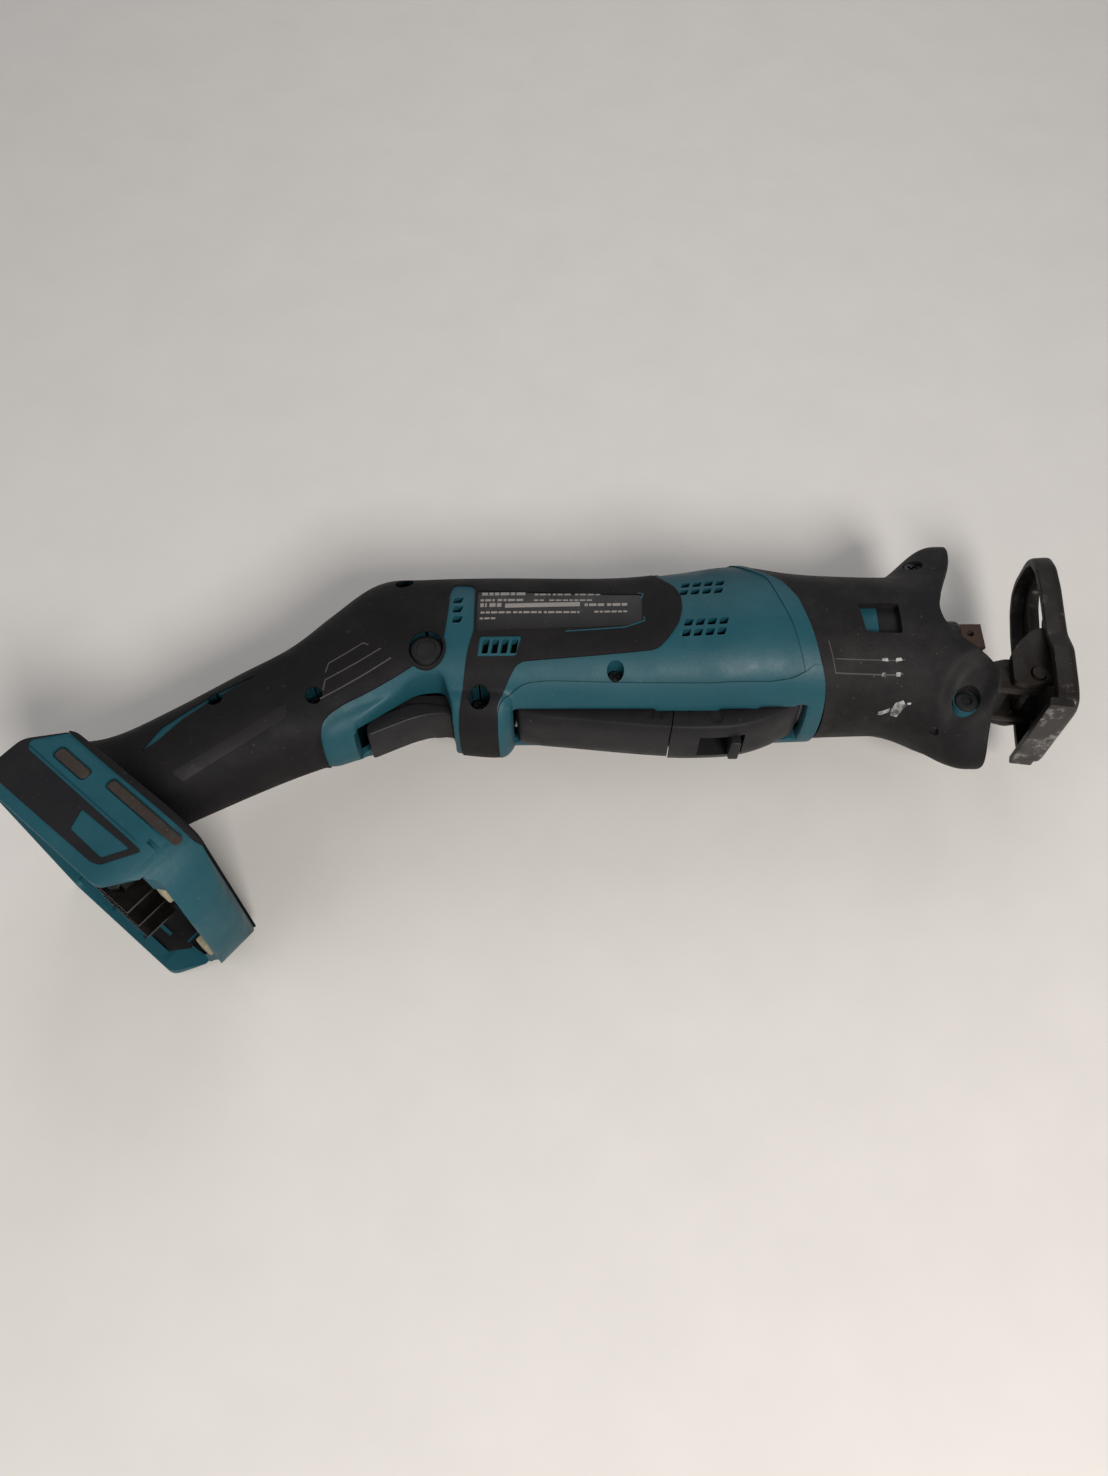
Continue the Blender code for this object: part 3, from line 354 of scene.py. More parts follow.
# --------------------------------------------------------------------------- materials
def surface(name, colour, rough, metal=0.0, dust=0.0, dust_colour=(0.30, 0.28, 0.25),
            worn=0.0, worn_colour=(0.42, 0.40, 0.37), grain=0.0, grain_scale=900.0,
            mottle=0.25, gloss=0.5):
    """Shaded plastic, rubber or metal with soft blotches, dust, wear spots and fine grain."""
    mat = bpy.data.materials.new(name)
    mat.use_nodes = True
    nodes, links = mat.node_tree.nodes, mat.node_tree.links
    shader = nodes["Principled BSDF"]
    shader.inputs["Metallic"].default_value = metal
    shader.inputs["Specular IOR Level"].default_value = gloss
    where = nodes.new("ShaderNodeTexCoord")

    def noise_at(scale, detail=4.0, roughness=0.6):
        n = nodes.new("ShaderNodeTexNoise")
        n.inputs["Scale"].default_value = scale
        n.inputs["Detail"].default_value = detail
        n.inputs["Roughness"].default_value = roughness
        links.new(where.outputs["Object"], n.inputs["Vector"])
        return n

    def ramp(source, low, high, a=0.0, b=1.0):
        r = nodes.new("ShaderNodeMapRange")
        r.inputs["From Min"].default_value = low
        r.inputs["From Max"].default_value = high
        r.inputs["To Min"].default_value = a
        r.inputs["To Max"].default_value = b
        links.new(source, r.inputs["Value"])
        return r.outputs["Result"]

    def mix(factor, a, b):
        m = nodes.new("ShaderNodeMix")
        m.data_type = "RGBA"
        links.new(factor, m.inputs["Factor"])
        for socket, value in (("A", a), ("B", b)):
            target = [s for s in m.inputs if s.name == socket and s.type == "RGBA"][0]
            if isinstance(value, tuple):
                target.default_value = (*value, 1.0)
            else:
                links.new(value, target)
        return [s for s in m.outputs if s.type == "RGBA"][0]

    dark = tuple(c * (1 - mottle) for c in colour)
    light = tuple(c * (1 + mottle) for c in colour)
    blotch = noise_at(28.0)
    shade = mix(ramp(blotch.outputs["Fac"], 0.3, 0.7), dark, light)
    if dust:
        film = noise_at(75.0, 7.0, 0.7)
        shade = mix(ramp(film.outputs["Fac"], 0.45, 0.85, 0.0, dust), shade, dust_colour)
        specks = noise_at(650.0, 2.0, 0.5)
        shade = mix(ramp(specks.outputs["Fac"], 0.70, 0.76, 0.0, min(1.0, dust * 2.2)),
                    shade, tuple(min(1.0, c * 1.5) for c in dust_colour))
    if worn:
        rub = noise_at(120.0, 8.0, 0.75)
        shade = mix(ramp(rub.outputs["Fac"], 0.62 - 0.12 * worn, 0.74 - 0.12 * worn),
                    shade, worn_colour)
    links.new(shade, shader.inputs["Base Color"])
    patches = noise_at(90.0, 5.0)
    links.new(ramp(patches.outputs["Fac"], 0.3, 0.75, max(0.05, rough - 0.10),
                   min(1.0, rough + 0.12)), shader.inputs["Roughness"])
    if grain:
        fine = noise_at(grain_scale, 2.0)
        bump = nodes.new("ShaderNodeBump")
        bump.inputs["Strength"].default_value = grain
        bump.inputs["Distance"].default_value = 0.0002
        links.new(fine.outputs["Fac"], bump.inputs["Height"])
        links.new(bump.outputs["Normal"], shader.inputs["Normal"])
    return mat


TEAL = surface("teal_housing", (0.0075, 0.058, 0.077), 0.50, dust=0.035, grain=0.25,
               mottle=0.10, dust_colour=(0.20, 0.25, 0.25), gloss=0.24)
BLACK = surface("black_elastomer", (0.0070, 0.0062, 0.0068), 0.64, dust=0.03, grain=0.5,
                mottle=0.20, dust_colour=(0.17, 0.15, 0.135), gloss=0.13)
BOOT_BLACK = surface("black_boot", (0.0090, 0.0082, 0.0084), 0.62, dust=0.055, grain=0.45,
                     mottle=0.22, dust_colour=(0.24, 0.22, 0.20), gloss=0.14)
PLASTIC = surface("black_plastic", (0.0095, 0.0090, 0.0102), 0.45, dust=0.03, grain=0.25,
                  mottle=0.15, dust_colour=(0.22, 0.20, 0.18), gloss=0.18)
STEEL_BLACK = surface("blackened_steel", (0.013, 0.0105, 0.0090), 0.46, metal=0.35,
                      dust=0.05, worn=0.30, worn_colour=(0.085, 0.072, 0.064), grain=0.5,
                      mottle=0.35, gloss=0.25)
STEEL_WORN = surface("worn_steel", (0.030, 0.026, 0.024), 0.40, metal=0.5, worn=0.95,
                     worn_colour=(0.27, 0.25, 0.235), grain=0.6, mottle=0.4)
RUST = surface("rusty_steel", (0.040, 0.023, 0.017), 0.66, metal=0.2, dust=0.10, grain=0.8,
               mottle=0.35, dust_colour=(0.13, 0.075, 0.05), gloss=0.25)
BRIGHT = surface("bright_steel", (0.45, 0.43, 0.41), 0.28, metal=1.0, mottle=0.12)
SCREW = surface("screw_steel", (0.030, 0.030, 0.032), 0.42, metal=0.8, mottle=0.2)
ALLOY = surface("cast_alloy", (0.22, 0.22, 0.225), 0.45, metal=1.0, mottle=0.12, grain=0.4)
CONTACT = surface("contact_metal", (0.060, 0.055, 0.050), 0.26, metal=0.95, worn=0.1,
                  worn_colour=(0.30, 0.28, 0.25), mottle=0.3)
BRASS = surface("bronze", (0.38, 0.27, 0.12), 0.36, metal=1.0, mottle=0.12)
BEIGE = surface("beige_pad", (0.26, 0.23, 0.155), 0.85, dust=0.12, grain=0.9, mottle=0.2)
PAD_BROWN = surface("brown_pad", (0.030, 0.022, 0.018), 0.85, dust=0.10, grain=0.9,
                    gloss=0.2)
LABEL_BLACK = surface("label_film", (0.0085, 0.0070, 0.0070), 0.36, dust=0.04,
                      mottle=0.12, dust_colour=(0.20, 0.18, 0.17), gloss=0.28)
LABEL_GREY = surface("label_print", (0.22, 0.20, 0.185), 0.55, dust=0.2, mottle=0.1,
                     dust_colour=(0.10, 0.09, 0.09), gloss=0.3)
DUSTY = surface("dusty_line", (0.060, 0.056, 0.054), 0.75, dust=0.25, mottle=0.3,
                dust_colour=(0.12, 0.115, 0.11), gloss=0.2)
PANEL = surface("panel_black", (0.0095, 0.0085, 0.0092), 0.55, dust=0.03, mottle=0.15,
                dust_colour=(0.17, 0.15, 0.14), gloss=0.16)
SCUFF = surface("scuffed_rubber", (0.36, 0.35, 0.34), 0.7, worn=1.3,
                worn_colour=(0.05, 0.048, 0.047), mottle=0.3, gloss=0.3)


# --------------------------------------------------------------------- barrel and grip
def oval(x, y, lean, up, down, half, inset=0.0, count=96, power=2.3):
    tilt = math.radians(lean)
    ring = []
    for i in range(count):
        turn = 2 * math.pi * (i + 0.5) / count
        c, s = math.cos(turn), math.sin(turn)
        reach = (abs(c) ** power + abs(s) ** power) ** (-1 / power)
        rise = s * reach * ((up if s > 0 else down) - inset)
        ring.append((x - rise * math.sin(tilt), y + rise * math.cos(tilt),
                     c * reach * (half - inset)))
    return ring


def body_parts(name, inset=0.0, count=96, steps=8):
    barrel = skin(name, [oval(*sec, inset=inset, count=count)
                         for sec in curve_points(BODY, steps)])
    keel = skin(name + "_keel", [oval(x, y, 0, up, down, half, inset=inset, count=count)
                                 for x, y, up, down, half in curve_points(KEEL, 4)])
    return join(barrel, keel, solver="EXACT")


def zone(name, outline, z0=-60.0, z1=60.0):
    return prism(name, outline, z0, z1)


base = body_parts("body_shell")
cut(base, zone("bay", rounded(TRIGGER_BAY, 2.5)),
    block("paddle_bay", (-14.0, -14.0, -11.2), (86.2, 10.0, 11.2)), solver="EXACT")
remeshed(base, VOXEL, 5)
outer = copy_of(base, "outer_skin")

inside = body_parts("inside", inset=2.8, count=48, steps=3)
wall_round_bay = zone("bay_wall", [(x + (2.2 if x > -45 else -2.2), y + (2.4 if y > 0 else 1))
                                   for x, y in TRIGGER_BAY])
bosses = [rod(f"boss_{i}", 5.7, (x, y, -1.0), (x, y, 60.0))
          for i, (x, y, floor, wide) in enumerate(SCREWS)]
cut(inside, wall_round_bay, *bosses, solver="EXACT")
front_room = rod("front_room", 25.2, (57, BOOT_Y, 0), (99, BOOT_Y, 0), 64)
ways = [
    block("trigger_way", (-67.4, -6.0, -8.4), (-34.0, 18.0, 8.4)),
    rod("button_way", 5.8, (*BUTTON_AT, -45), (*BUTTON_AT, 45)),
    block("pin_room", (-13.6, 5.0, -10.7), (8.0, 13.4, 10.7)),
]
recesses = [rod(f"recess_{i}", wide, (x, y, floor), (x, y, 60))
            for i, (x, y, floor, wide) in enumerate(SCREWS)]
shanks = [rod(f"shank_{i}", 2.0, (x, y, -floor + 2), (x, y, floor + 1), 16)
          for i, (x, y, floor, wide) in enumerate(SCREWS)]


def slanted(name, x, y, wide, tall, lean, z0=8.0, z1=45.0):
    outline = rounded(((x, y), (x + wide, y), (x + wide + lean, y + tall), (x + lean, y + tall)),
                      0.5, 3)
    return prism(name, outline, z0, z1)


vents = []
for side in (1, -1):
    z0, z1 = sorted((8.0 * side, 45.0 * side))
    for group_y in (22.6, 39.4):
        for row in range(2):
            for column in range(4):
                vents.append(slanted("vent", 42.4 + 3.9 * column + 0.9 * row,
                                     group_y + 3.8 * row, 2.7, 2.5, 0.9, z0, z1))
    for row in range(3):
        vents.append(slanted("rear_vent", -34.6, 29.0 + 4.2 * row, 3.0, 2.7, 0.9, z0, z1))
for column in range(4):
    vents.append(block("top_vent", (-22.4 + 3.6 * column, 50.5, -12), (-20.2 + 3.6 * column,
                                                                     66, 12)))
side_vents = [slanted("side_vent", -24.4 + 3.2 * k, 17.8, 2.2, 4.6, 0.8,
                      *sorted((8.0 * side, 45.0 * side))) for k in range(4) for side in (1, -1)]

overmold = puffed(base, "grip_overmold", 0.55)
within(overmold, zone("overmold_zone", rounded(OVERMOLD, 1.6)))
strip = ((-134.6, -15.4), (-129.6, -5.6), (-121.0, 2.2), (-113.9, 7.8), (-104.0, 13.4),
         (-100.0, 15.0), (-106.5, 10.6), (-115.3, 4.2), (-123.0, -2.6), (-129.0, -10.2))
x0, x1, y0, y1 = LABEL
label_zone = rounded(((x0, y0 - 0.4), (x1, y0 + 1.8), (x1 + 0.6, y1 - 2.0), (x0, y1 + 0.6)),
                     1.2)


CHEVRONS = (
    ((-76.6, 13.6), (-75.8, 16.8), (-64.4, 23.4), (-62.6, 22.4)),
    ((-77.0, 7.4), (-76.5, 10.8), (-58.2, 20.5)),
    ((-77.8, 4.6), (-54.6, 17.0)),
)
side_vent_zone = rounded(((-25.6, 16.6), (-12.6, 16.6), (-10.6, 23.4), (-24.8, 23.4)), 0.8)
cut(overmold, zone("sliver", rounded(strip, 1.0)), zone("label_hole", label_zone),
    zone("side_vent_hole", side_vent_zone))

seam = [(x, y) for x, y in FRONT_SEAM] + [(200.0, -30.0), (200.0, 90.0)]
cut(base, zone("seam", rounded(seam, 2.0)))
for target in (base, overmold):
    cut(target, inside, front_room, *ways, *recesses, *shanks, *vents, keep=True)
cut(base, *side_vents)

ring_band = puffed(outer, "front_collar", 0.45)
lip = puffed(outer, "barrel_lip", 0.75)
for target in (ring_band, lip):
    cut(target, zone("seam", rounded(seam, 2.0)))
within(ring_band, zone("band_zone", rounded(RING_BAND, 2.0)))
within(lip, zone("lip_zone", rounded(LIP, 2.0)))
for target in (ring_band, lip):
    cut(target, inside, front_room, keep=True)
cut(lip, block("lip_bay", (-14.0, -14.0, -11.2), (86.2, 10.0, 11.2)))


def bars(name, outlines, height, body, material, source=None, z0=6.0, sides=(1, -1)):
    """Thin shapes that follow the surface, all joined into one piece."""
    made = puffed(source or outer, name, height)
    zones = [prism("bar", outline, s * z0, s * 60.0) if s > 0
             else prism("bar", outline, -60.0, -z0) for outline in outlines for s in sides]
    group = zones[0]
    join(group, *zones[1:])
    within(made, group)
    shell = puffed(source or outer, "under", height - 0.4)
    cut(made, shell)
    return piece(made, body, material)


def strip_line(points, width):
    """A broken line as flat outlines of a given width."""
    out = []
    for a, b in zip(points, points[1:]):
        a, b = Vector(a), Vector(b)
        d = (b - a).normalized()
        n = Vector((-d.y, d.x)) * width / 2
        a, b = a - d * width * 0.3, b + d * width * 0.3
        out.append([tuple(p) for p in (a - n, b - n, b + n, a + n)])
    return out


label = puffed(outer, "label_plate", 0.22)
within(label, zone("label_zone", label_zone))
cut(label, inside, keep=True)
collar = puffed(outer, "button_collar", 0.8)
rims = [rod("collar_out", 6.7, (*BUTTON_AT, side * 15), (*BUTTON_AT, side * 50), 64)
        for side in (1, -1)]
join(*rims)
within(collar, rims[0])
cut(collar, rod("collar_in", 5.8, (*BUTTON_AT, -50), (*BUTTON_AT, 50), 64))
cut(collar, puffed(outer, "collar_under", 0.2))
piece(collar, "tool", BLACK)
cutters = (inside, front_room, *ways, *recesses, *shanks, *vents)
for obj in cutters:
    bpy.data.objects.remove(obj)

piece(base, "tool", TEAL, ("housing_right", "housing_left"))
piece(overmold, "tool", BLACK)
piece(ring_band, "tool", TEAL)
piece(lip, "tool", TEAL)
piece(label, "tool", LABEL_BLACK, ("label_right", "label_left"))
bars("grip_lines", [o for line in CHEVRONS for o in strip_line(line, 0.42)], 0.62, "tool",
     DUSTY)
bars("grip_panel", [rounded(((-124.0, -21.6), (-120.7, -23.8), (-88.7, -1.8),
                             (-88.9, 2.9)), 0.6)], 0.66, "tool", PANEL)
WORDS = (
    (40.6, 1.5, ((-24.6, -9.4),)), (40.5, 0.9, ((-6.6, -1.2), (-0.4, 6.4), (7.2, 15.8))),
    (37.7, 1.0, ((-25.0, -20.2), (-19.2, -9.8))), (37.7, 0.7, ((-6.8, -3.4), (-1.6, 13.8))),
    (35.1, 1.7, ((-25.0, -22.8), (-21.9, -17.7))), (35.3, 1.2, ((10.4, 17.2), (18.0, 24.8))),
    (32.3, 0.8, ((-24.8, -14.6), (-13.8, -4.2), (-3.4, 8.6))), (32.5, 0.7, ((13.6, 25.4),)),
    (29.9, 0.7, ((-25.0, -19.8),)),
)
prints = []
for y, tall, spans in WORDS:
    for a, b in spans:
        x = a
        while x < b - 0.5:
            wide = min(b - x, 1.0 + 0.7 * tall * (1 + math.sin(x * 2.3)))
            prints.append(((x, y), (x + wide, y + 0.03 * wide), (x + wide, y + tall),
                           (x, y + tall)))
            x += wide + 0.45
prints.append(((-16.6, 34.7), (8.8, 35.3), (8.8, 37.2), (-16.6, 36.5)))
bars("label_print", prints, 0.31, "tool", LABEL_GREY)
EDGE = strip_line(((4.0, 24.9), (24.0, 26.3), (30.4, 28.6), (30.2, 30.0)), 0.4)
EDGE += strip_line(((28.6, 40.9), (30.4, 40.4), (29.6, 38.0)), 0.4)
bars("label_edge", EDGE, 0.66, "tool", TEAL)

bpy.data.objects.remove(outer)


# --------------------------------------------------------------------------- the foot
def foot_at(s, n, z):
    flat = FOOT_S * s + FOOT_N * n
    return (flat.x, flat.y, z)


def foot_plan():
    """The foot from above, in (s, w), with its rounded front."""
    nose = []
    for i in range(41):
        turn = math.pi * (i / 40 - 0.5)
        nose.append((-62 + 27.3 * math.cos(turn) ** 0.8, FOOT_HALF * math.sin(turn)))
    return [(-130.0, -FOOT_HALF), *nose, (-130.0, FOOT_HALF)]


def foot_prism(name, outline, n0, n1):
    """A plan outline in (s, w) pulled along the foot's own height."""
    return prism(name, outline, n0, n1, lambda s, w, n: foot_at(s, n, w))


foot = prism("foot_shell", rounded(FOOT_SIDE, 2.5), -FOOT_HALF, FOOT_HALF, foot_at)
within(foot, foot_prism("plan", foot_plan(), -150, -100))
bevelled(foot, 0.9, 3, 50)
FOOT_WALL = 3.4
inner_wall = FOOT_HALF - FOOT_WALL
hollow_plan = ((-106.5, -inner_wall), (-58.0, -inner_wall), (-46.0, -inner_wall + 9),
               (-42.0, 0.0), (-46.0, inner_wall - 9), (-58.0, inner_wall),
               (-106.5, inner_wall))
cut(foot, foot_prism("hollow", rounded(hollow_plan, 4.0), -145, -121),
    prism("mouth", ((-60, -145), (-10, -145), (-10, -127.0), (-60, -127.0)), -inner_wall,
          inner_wall, foot_at))


def sided(outline, near, far, side, place, name):
    low, high = sorted((near * side, far * side))
    return prism(name, outline, low, high, place)


PATCH = ((-118.0, -137.0), (-118.0, -104.0), (-99.2, -104.0), (-101.2, -110.9),
         (-108.2, -119.6), (-106.2, -122.0), (-53.7, -122.4), (-59.2, -132.9), (-62.0, -134.0),
         (-75.9, -134.2), (-103.4, -134.5), (-112.0, -134.9))
INSET = ((-77.3, -124.7), (-56.6, -124.2), (-60.5, -131.3), (-74.8, -131.0))
PADS = ((-99.5, -84.5, -118.9, -114.2), (-78.8, -46.5, -115.7, -111.5))
CREST = ((-125.0, -100.0), (-102.0, -104.0), (-101.4, -110.4), (-84.0, -110.5),
         (-60.0, -110.3), (-46.8, -110.1), (-43.6, -108.6), (-42.0, -100.0))

patch = puffed(foot, "foot_side_patch", 0.35)
patch_zones = [sided(rounded(PATCH, 1.2), FOOT_HALF - 2.4, 60, side, foot_at, "patch_zone")
               for side in (1, -1)]
join(*patch_zones)
within(patch, patch_zones[0])
inset_groove = prism("inset_hole", rounded(INSET, 0.8), -60, 60, foot_at)
cut(patch, inset_groove, keep=True)
bpy.data.objects.remove(inset_groove)
crest = puffed(foot, "foot_crest", 0.8)
within(crest, prism("crest_zone", rounded(CREST, 1.0), -60, 60, foot_at))
cut(crest, prism("grip_root", ((-100.0, -112.0), (-52.0, -112.0), (-52.0, -100.0),
                               (-100.0, -100.0)), -13.5, 13.5, foot_at))
foot_cuts = []
pads = []
for side, tag in ((1, "right"), (-1, "left")):
    for k, (s0, s1, n0, n1) in enumerate(PADS):
        outline = rounded(((s0, n0), (s1, n0), (s1, n1), (s0, n1)), 2.0)
        foot_cuts.append(sided(outline, FOOT_HALF - 1.3, FOOT_HALF + 4, side, foot_at, "seat"))
        pad_face = rounded(((s0 + 0.5, n0 + 0.5), (s1 - 0.5, n0 + 0.5), (s1 - 0.5, n1 - 0.5),
                            (s0 + 0.5, n1 - 0.5)), 1.8)
        pad = sided(pad_face, FOOT_HALF - 1.2, FOOT_HALF - 0.15, side, foot_at,
                    f"foot_pad_{tag}_{k + 1}_rubber")
        pads.append((bevelled(pad, 0.5), f"foot_pad_{tag}_{k + 1}"))
    for s, n, wide in ((-76.2, -112.6, 3.2), (-55.0, -118.9, 4.2)):
        slot_line = ((s, n - 0.75), (s + wide, n - 0.75), (s + wide, n + 0.75), (s, n + 0.75))
        foot_cuts.append(sided(slot_line, FOOT_HALF - 2.2, FOOT_HALF + 4, side, foot_at,
                               "notch"))
    ledge = ((-107.0, -120.6), (-53.0, -120.9), (-53.0, -121.5), (-107.0, -121.2))
    foot_cuts.append(sided(ledge, FOOT_HALF - 0.5, FOOT_HALF + 4, side, foot_at, "ledge"))
cut(foot, *foot_cuts)
rails = []
for side in (1, -1):
    for k, (s0, s1) in enumerate(((-105.5, -92.0), (-87.0, -74.5), (-70.5, -61.5))):
        rail = ((s0, -136.4), (s1, -136.4), (s1, -133.8), (s0, -133.8))
        rails.append(sided(rail, inner_wall - 2.6, inner_wall + 1.0, side, foot_at, "rail"))
    rib = ((-105.5, -129.6), (-66.0, -129.6), (-66.0, -128.4), (-105.5, -128.4))
    rails.append(sided(rib, inner_wall - 1.4, inner_wall + 1.0, side, foot_at, "rib"))
join(foot, *rails)
lips = []
for w in (-23.5, 23.5):
    lip_pad = prism("lip_pad", rounded(((-50.2, -126.2), (-45.2, -126.2), (-45.2, -121.6),
                                        (-50.2, -121.6)), 0.8), w - 4.0, w + 4.0, foot_at)
    lips.append(bevelled(lip_pad, 0.6))
join(lips[0], lips[1])
lips[0].name = "foot_inner_pads"

piece(foot, "tool", TEAL)
# Painted shade: faces of the hollow's ceiling and front inner wall get black plastic to stand
# for the shadow the terminal block casts in there.
foot.data.materials.append(PLASTIC)
for face in foot.data.polygons:
    at = face.center / MM - SHIFT
    s = at.x * FOOT_S.x + at.y * FOOT_S.y
    n = at.x * FOOT_N.x + at.y * FOOT_N.y
    out_s = face.normal.x * FOOT_S.x + face.normal.y * FOOT_S.y
    out_n = face.normal.x * FOOT_N.x + face.normal.y * FOOT_N.y
    painted_shade_ceiling = out_n < -0.8 and -122.5 < n < -120.0
    painted_shade_front_wall = out_s < -0.3 and s > -62.0 and n < -120.0
    if abs(at.z) < FOOT_HALF - 3.0 and (painted_shade_ceiling or painted_shade_front_wall):
        face.material_index = 1
piece(patch, "tool", PLASTIC)
# Painted shade: thin black sheets over the inner faces of the side walls, deep in the hollow,
# stand for the shade there.
painted_shade_sheets = [sided(((-105.0, -133.4), (-62.0, -133.4), (-57.0, -128.0), (-57.0, -121.2),
                  (-105.0, -121.2)), inner_wall - 0.2, inner_wall + 0.4, side, foot_at,
                 "foot_painted_shade") for side in (1, -1)]
join(*painted_shade_sheets)
piece(painted_shade_sheets[0], "tool", PLASTIC)
piece(crest, "tool", BLACK)
piece(lips[0], "tool", BEIGE)
for pad, node in pads:
    piece(pad, "tool", PAD_BROWN, (node,))

deck = prism("terminal_deck", ((-86.0, -131.0), (-64.0, -131.0), (-64.0, -121.4),
                               (-86.0, -121.4)), -19.0, 19.0, foot_at)
shrouds = [prism("shroud", ((-85.0, -134.4), (-67.0, -134.4), (-65.0, -132.6),
                            (-65.0, -130.0), (-85.0, -130.0)), w - 3.4, w + 3.4, foot_at)
           for w in (-10.5, 10.5, -0.6)]
join(deck, *shrouds, solver="EXACT")
cut(deck, *[prism("gap", ((-87.0, -138.0), (-60.0, -138.0), (-60.0, -131.2),
                          (-87.0, -131.2)), w - 1.6, w + 1.6, foot_at)
            for w in (-10.5, 10.5, -0.6)], solver="EXACT")
piece(bevelled(deck, 0.4, 2), "tool", PLASTIC, ("terminal_block",))


# ------------------------------------------------------------------- boot with its guard
def rim_points(steps):
    full = list(GUARD_RIM) + [(-w, y, x) for w, y, x in reversed(GUARD_RIM[1:-1])]
    return curve_points(full, steps, closed=True)


RIM = rim_points(6)


def boot_ring(inset, t):
    ring = []
    for w, y, x in RIM:
        rise = y - BOOT_Y
        span = math.hypot(rise, w)
        tube = BOOT_R - inset
        rim = span - inset
        flare = 0.35 * t + 0.65 * t ** 2.2
        early = min(1.0, t / 0.87)
        lobe = abs(rise / span) ** 3
        full = early * early * (3 - 2 * early)
        spread = flare + (full - flare) * lobe if span > BOOT_R else t
        radius = tube + (rim - tube) * spread
        ring.append((FLARE_X + (x - FLARE_X) * t, BOOT_Y + rise / span * radius,
                     w / span * radius))
    return ring


def tube_ring(radius, x):
    return [(x, BOOT_Y + (y - BOOT_Y) * radius / math.hypot(y - BOOT_Y, w),
             w * radius / math.hypot(y - BOOT_Y, w)) for w, y, _ in RIM]


boot_rings = [tube_ring(r, x) for x, r in
              curve_points(((58.0, 32.0), (68.0, 32.0), (80.0, 30.2), (90.0, 29.2),
                            (101.0, 28.7), (FLARE_X - 1.0, BOOT_R)), 5)]
boot_rings += [boot_ring(0.0, i / 28) for i in range(28)]
boot_rings += [boot_ring(0.05, 0.985), boot_ring(0.3, 0.997), boot_ring(0.9, 1.0),
               boot_ring(1.9, 1.0), boot_ring(2.6, 0.997), boot_ring(3.0, 0.985)]
boot_rings += [boot_ring(3.2, i / 14) for i in range(13, -1, -1)]
boot_rings += [tube_ring(BOOT_R - 2.7, x) for x in (FLARE_X - 6, 100.0, 80.0, 58.0)]
outside = len(boot_rings) - 20
boot_solid = skin("boot_solid", boot_rings[:outside])
boot = skin("nose_boot", boot_rings, closed=True)


def pressed(obj, centre, along, across, lean, depth, low=8.0):
    """Pushes the wall of the boot in round a point, as a long shallow dish."""
    c, s = math.cos(math.radians(lean)), math.sin(math.radians(lean))
    for v in obj.data.vertices:
        p = v.co / MM - SHIFT
        if abs(p.z) < low or p.x < FLARE_X - 12:
            continue
        dx, dy = p.x - centre[0], p.y - centre[1]
        away = math.hypot((dx * c + dy * s) / along, (dy * c - dx * s) / across)
        if away < 1.0:
            t = min(1.0, (1.0 - away) / 0.6)
            p.z -= math.copysign(depth * t * t * (3 - 2 * t), p.z)
            v.co = (p + SHIFT) * MM


pressed(boot, (138.4, 7.4), 13.0, 8.5, 55, 3.4)
keep = zone("boot_keep", rounded([(x + 0.5, y) for x, y in seam], 2.0))
within(boot, keep)
window = prism("boot_window", rounded(((103.0, 36.2), (117.0, 36.9), (117.0, 25.0),
                                       (104.8, 25.4)), 0.8), 16.0, 40.0)
boot_cuts = [window, rod("button_hole", 4.2, (*SHOE_BUTTON_AT, 2), (*SHOE_BUTTON_AT, 45)),
             rod("small_hole", 1.5, (128.6, -0.8, 7.2), (128.6, -9.0, 8.9))]
for side in (1, -1):
    boot_cuts.append(rod("boot_screw_hole", 3.3, (*BOOT_SCREW_AT, 3.0 * side),
                         (*BOOT_SCREW_AT, 40 * side)))


cut(boot, *boot_cuts, solver="EXACT")
piece(boot, "tool", BOOT_BLACK, ("front_boot",))
LINES = strip_line(((91.9, 22.0), (93.3, 17.2), (94.4, 13.2), (117.0, 13.0)), 0.35)
LINES += strip_line(((94.2, 16.9), (117.4, 16.7)), 0.3)
bars("boot_lines", LINES, 0.06, "tool", DUSTY, boot_solid)
MARKS = [((114.8, 6.0), (116.0, 7.1), (118.2, 7.2), (119.3, 6.0), (117.4, 4.9), (115.8, 4.6)),
         ((109.8, 16.6), (112.0, 16.5), (111.8, 17.4), (109.9, 17.3)),
         ((114.4, 16.4), (116.6, 16.5), (116.2, 17.3), (114.6, 17.3)),
         ((110.0, 12.6), (111.4, 12.5), (111.4, 13.6), (110.2, 13.5)),
         ((114.8, 12.6), (116.2, 12.5), (116.4, 13.4), (114.9, 13.6))]
for a, b, w in (((109.4, 2.6), (113.8, 5.2), 0.5), ((111.0, 5.8), (114.4, 6.2), 0.4),
                ((119.6, 6.3), (120.6, 6.1), 0.3)):
    MARKS += strip_line((a, b), w)
bars("boot_scuffs", MARKS, 0.09, "tool", SCUFF, boot_solid, sides=(1,))
liner_ring = turned("button_ring", ((3.86, 9.0), (4.16, 9.0), (4.16, 17.0), (3.86, 17.0)),
                    (*SHOE_BUTTON_AT, 0), (0, 0, 1), 48)
piece(liner_ring, "tool", TEAL)
bpy.data.objects.remove(boot_solid)


def arc_band(name, radius, thick, x0, x1, a0, a1, steps=16):
    rings = []
    for i in range(steps + 1):
        a = math.radians(a0 + (a1 - a0) * i / steps)
        rings.append([(x, BOOT_Y + r * math.sin(a), r * math.cos(a))
                      for x, r in ((x0, radius), (x1, radius), (x1, radius + thick),
                                   (x0, radius + thick))])
    return skin(name, rings)


liner = arc_band("window_liner_teal", 24.6, 0.7, 99.0, 110.0, -30, 30)
piece(liner, "tool", TEAL)
# Painted shade: a black sheet behind the back half of the boot window stands for the dark
# opening there.
dark = arc_band("window_painted_shade", 24.6, 0.3, 110.2, 118.0, -30, 30)
piece(dark, "tool", PLASTIC)


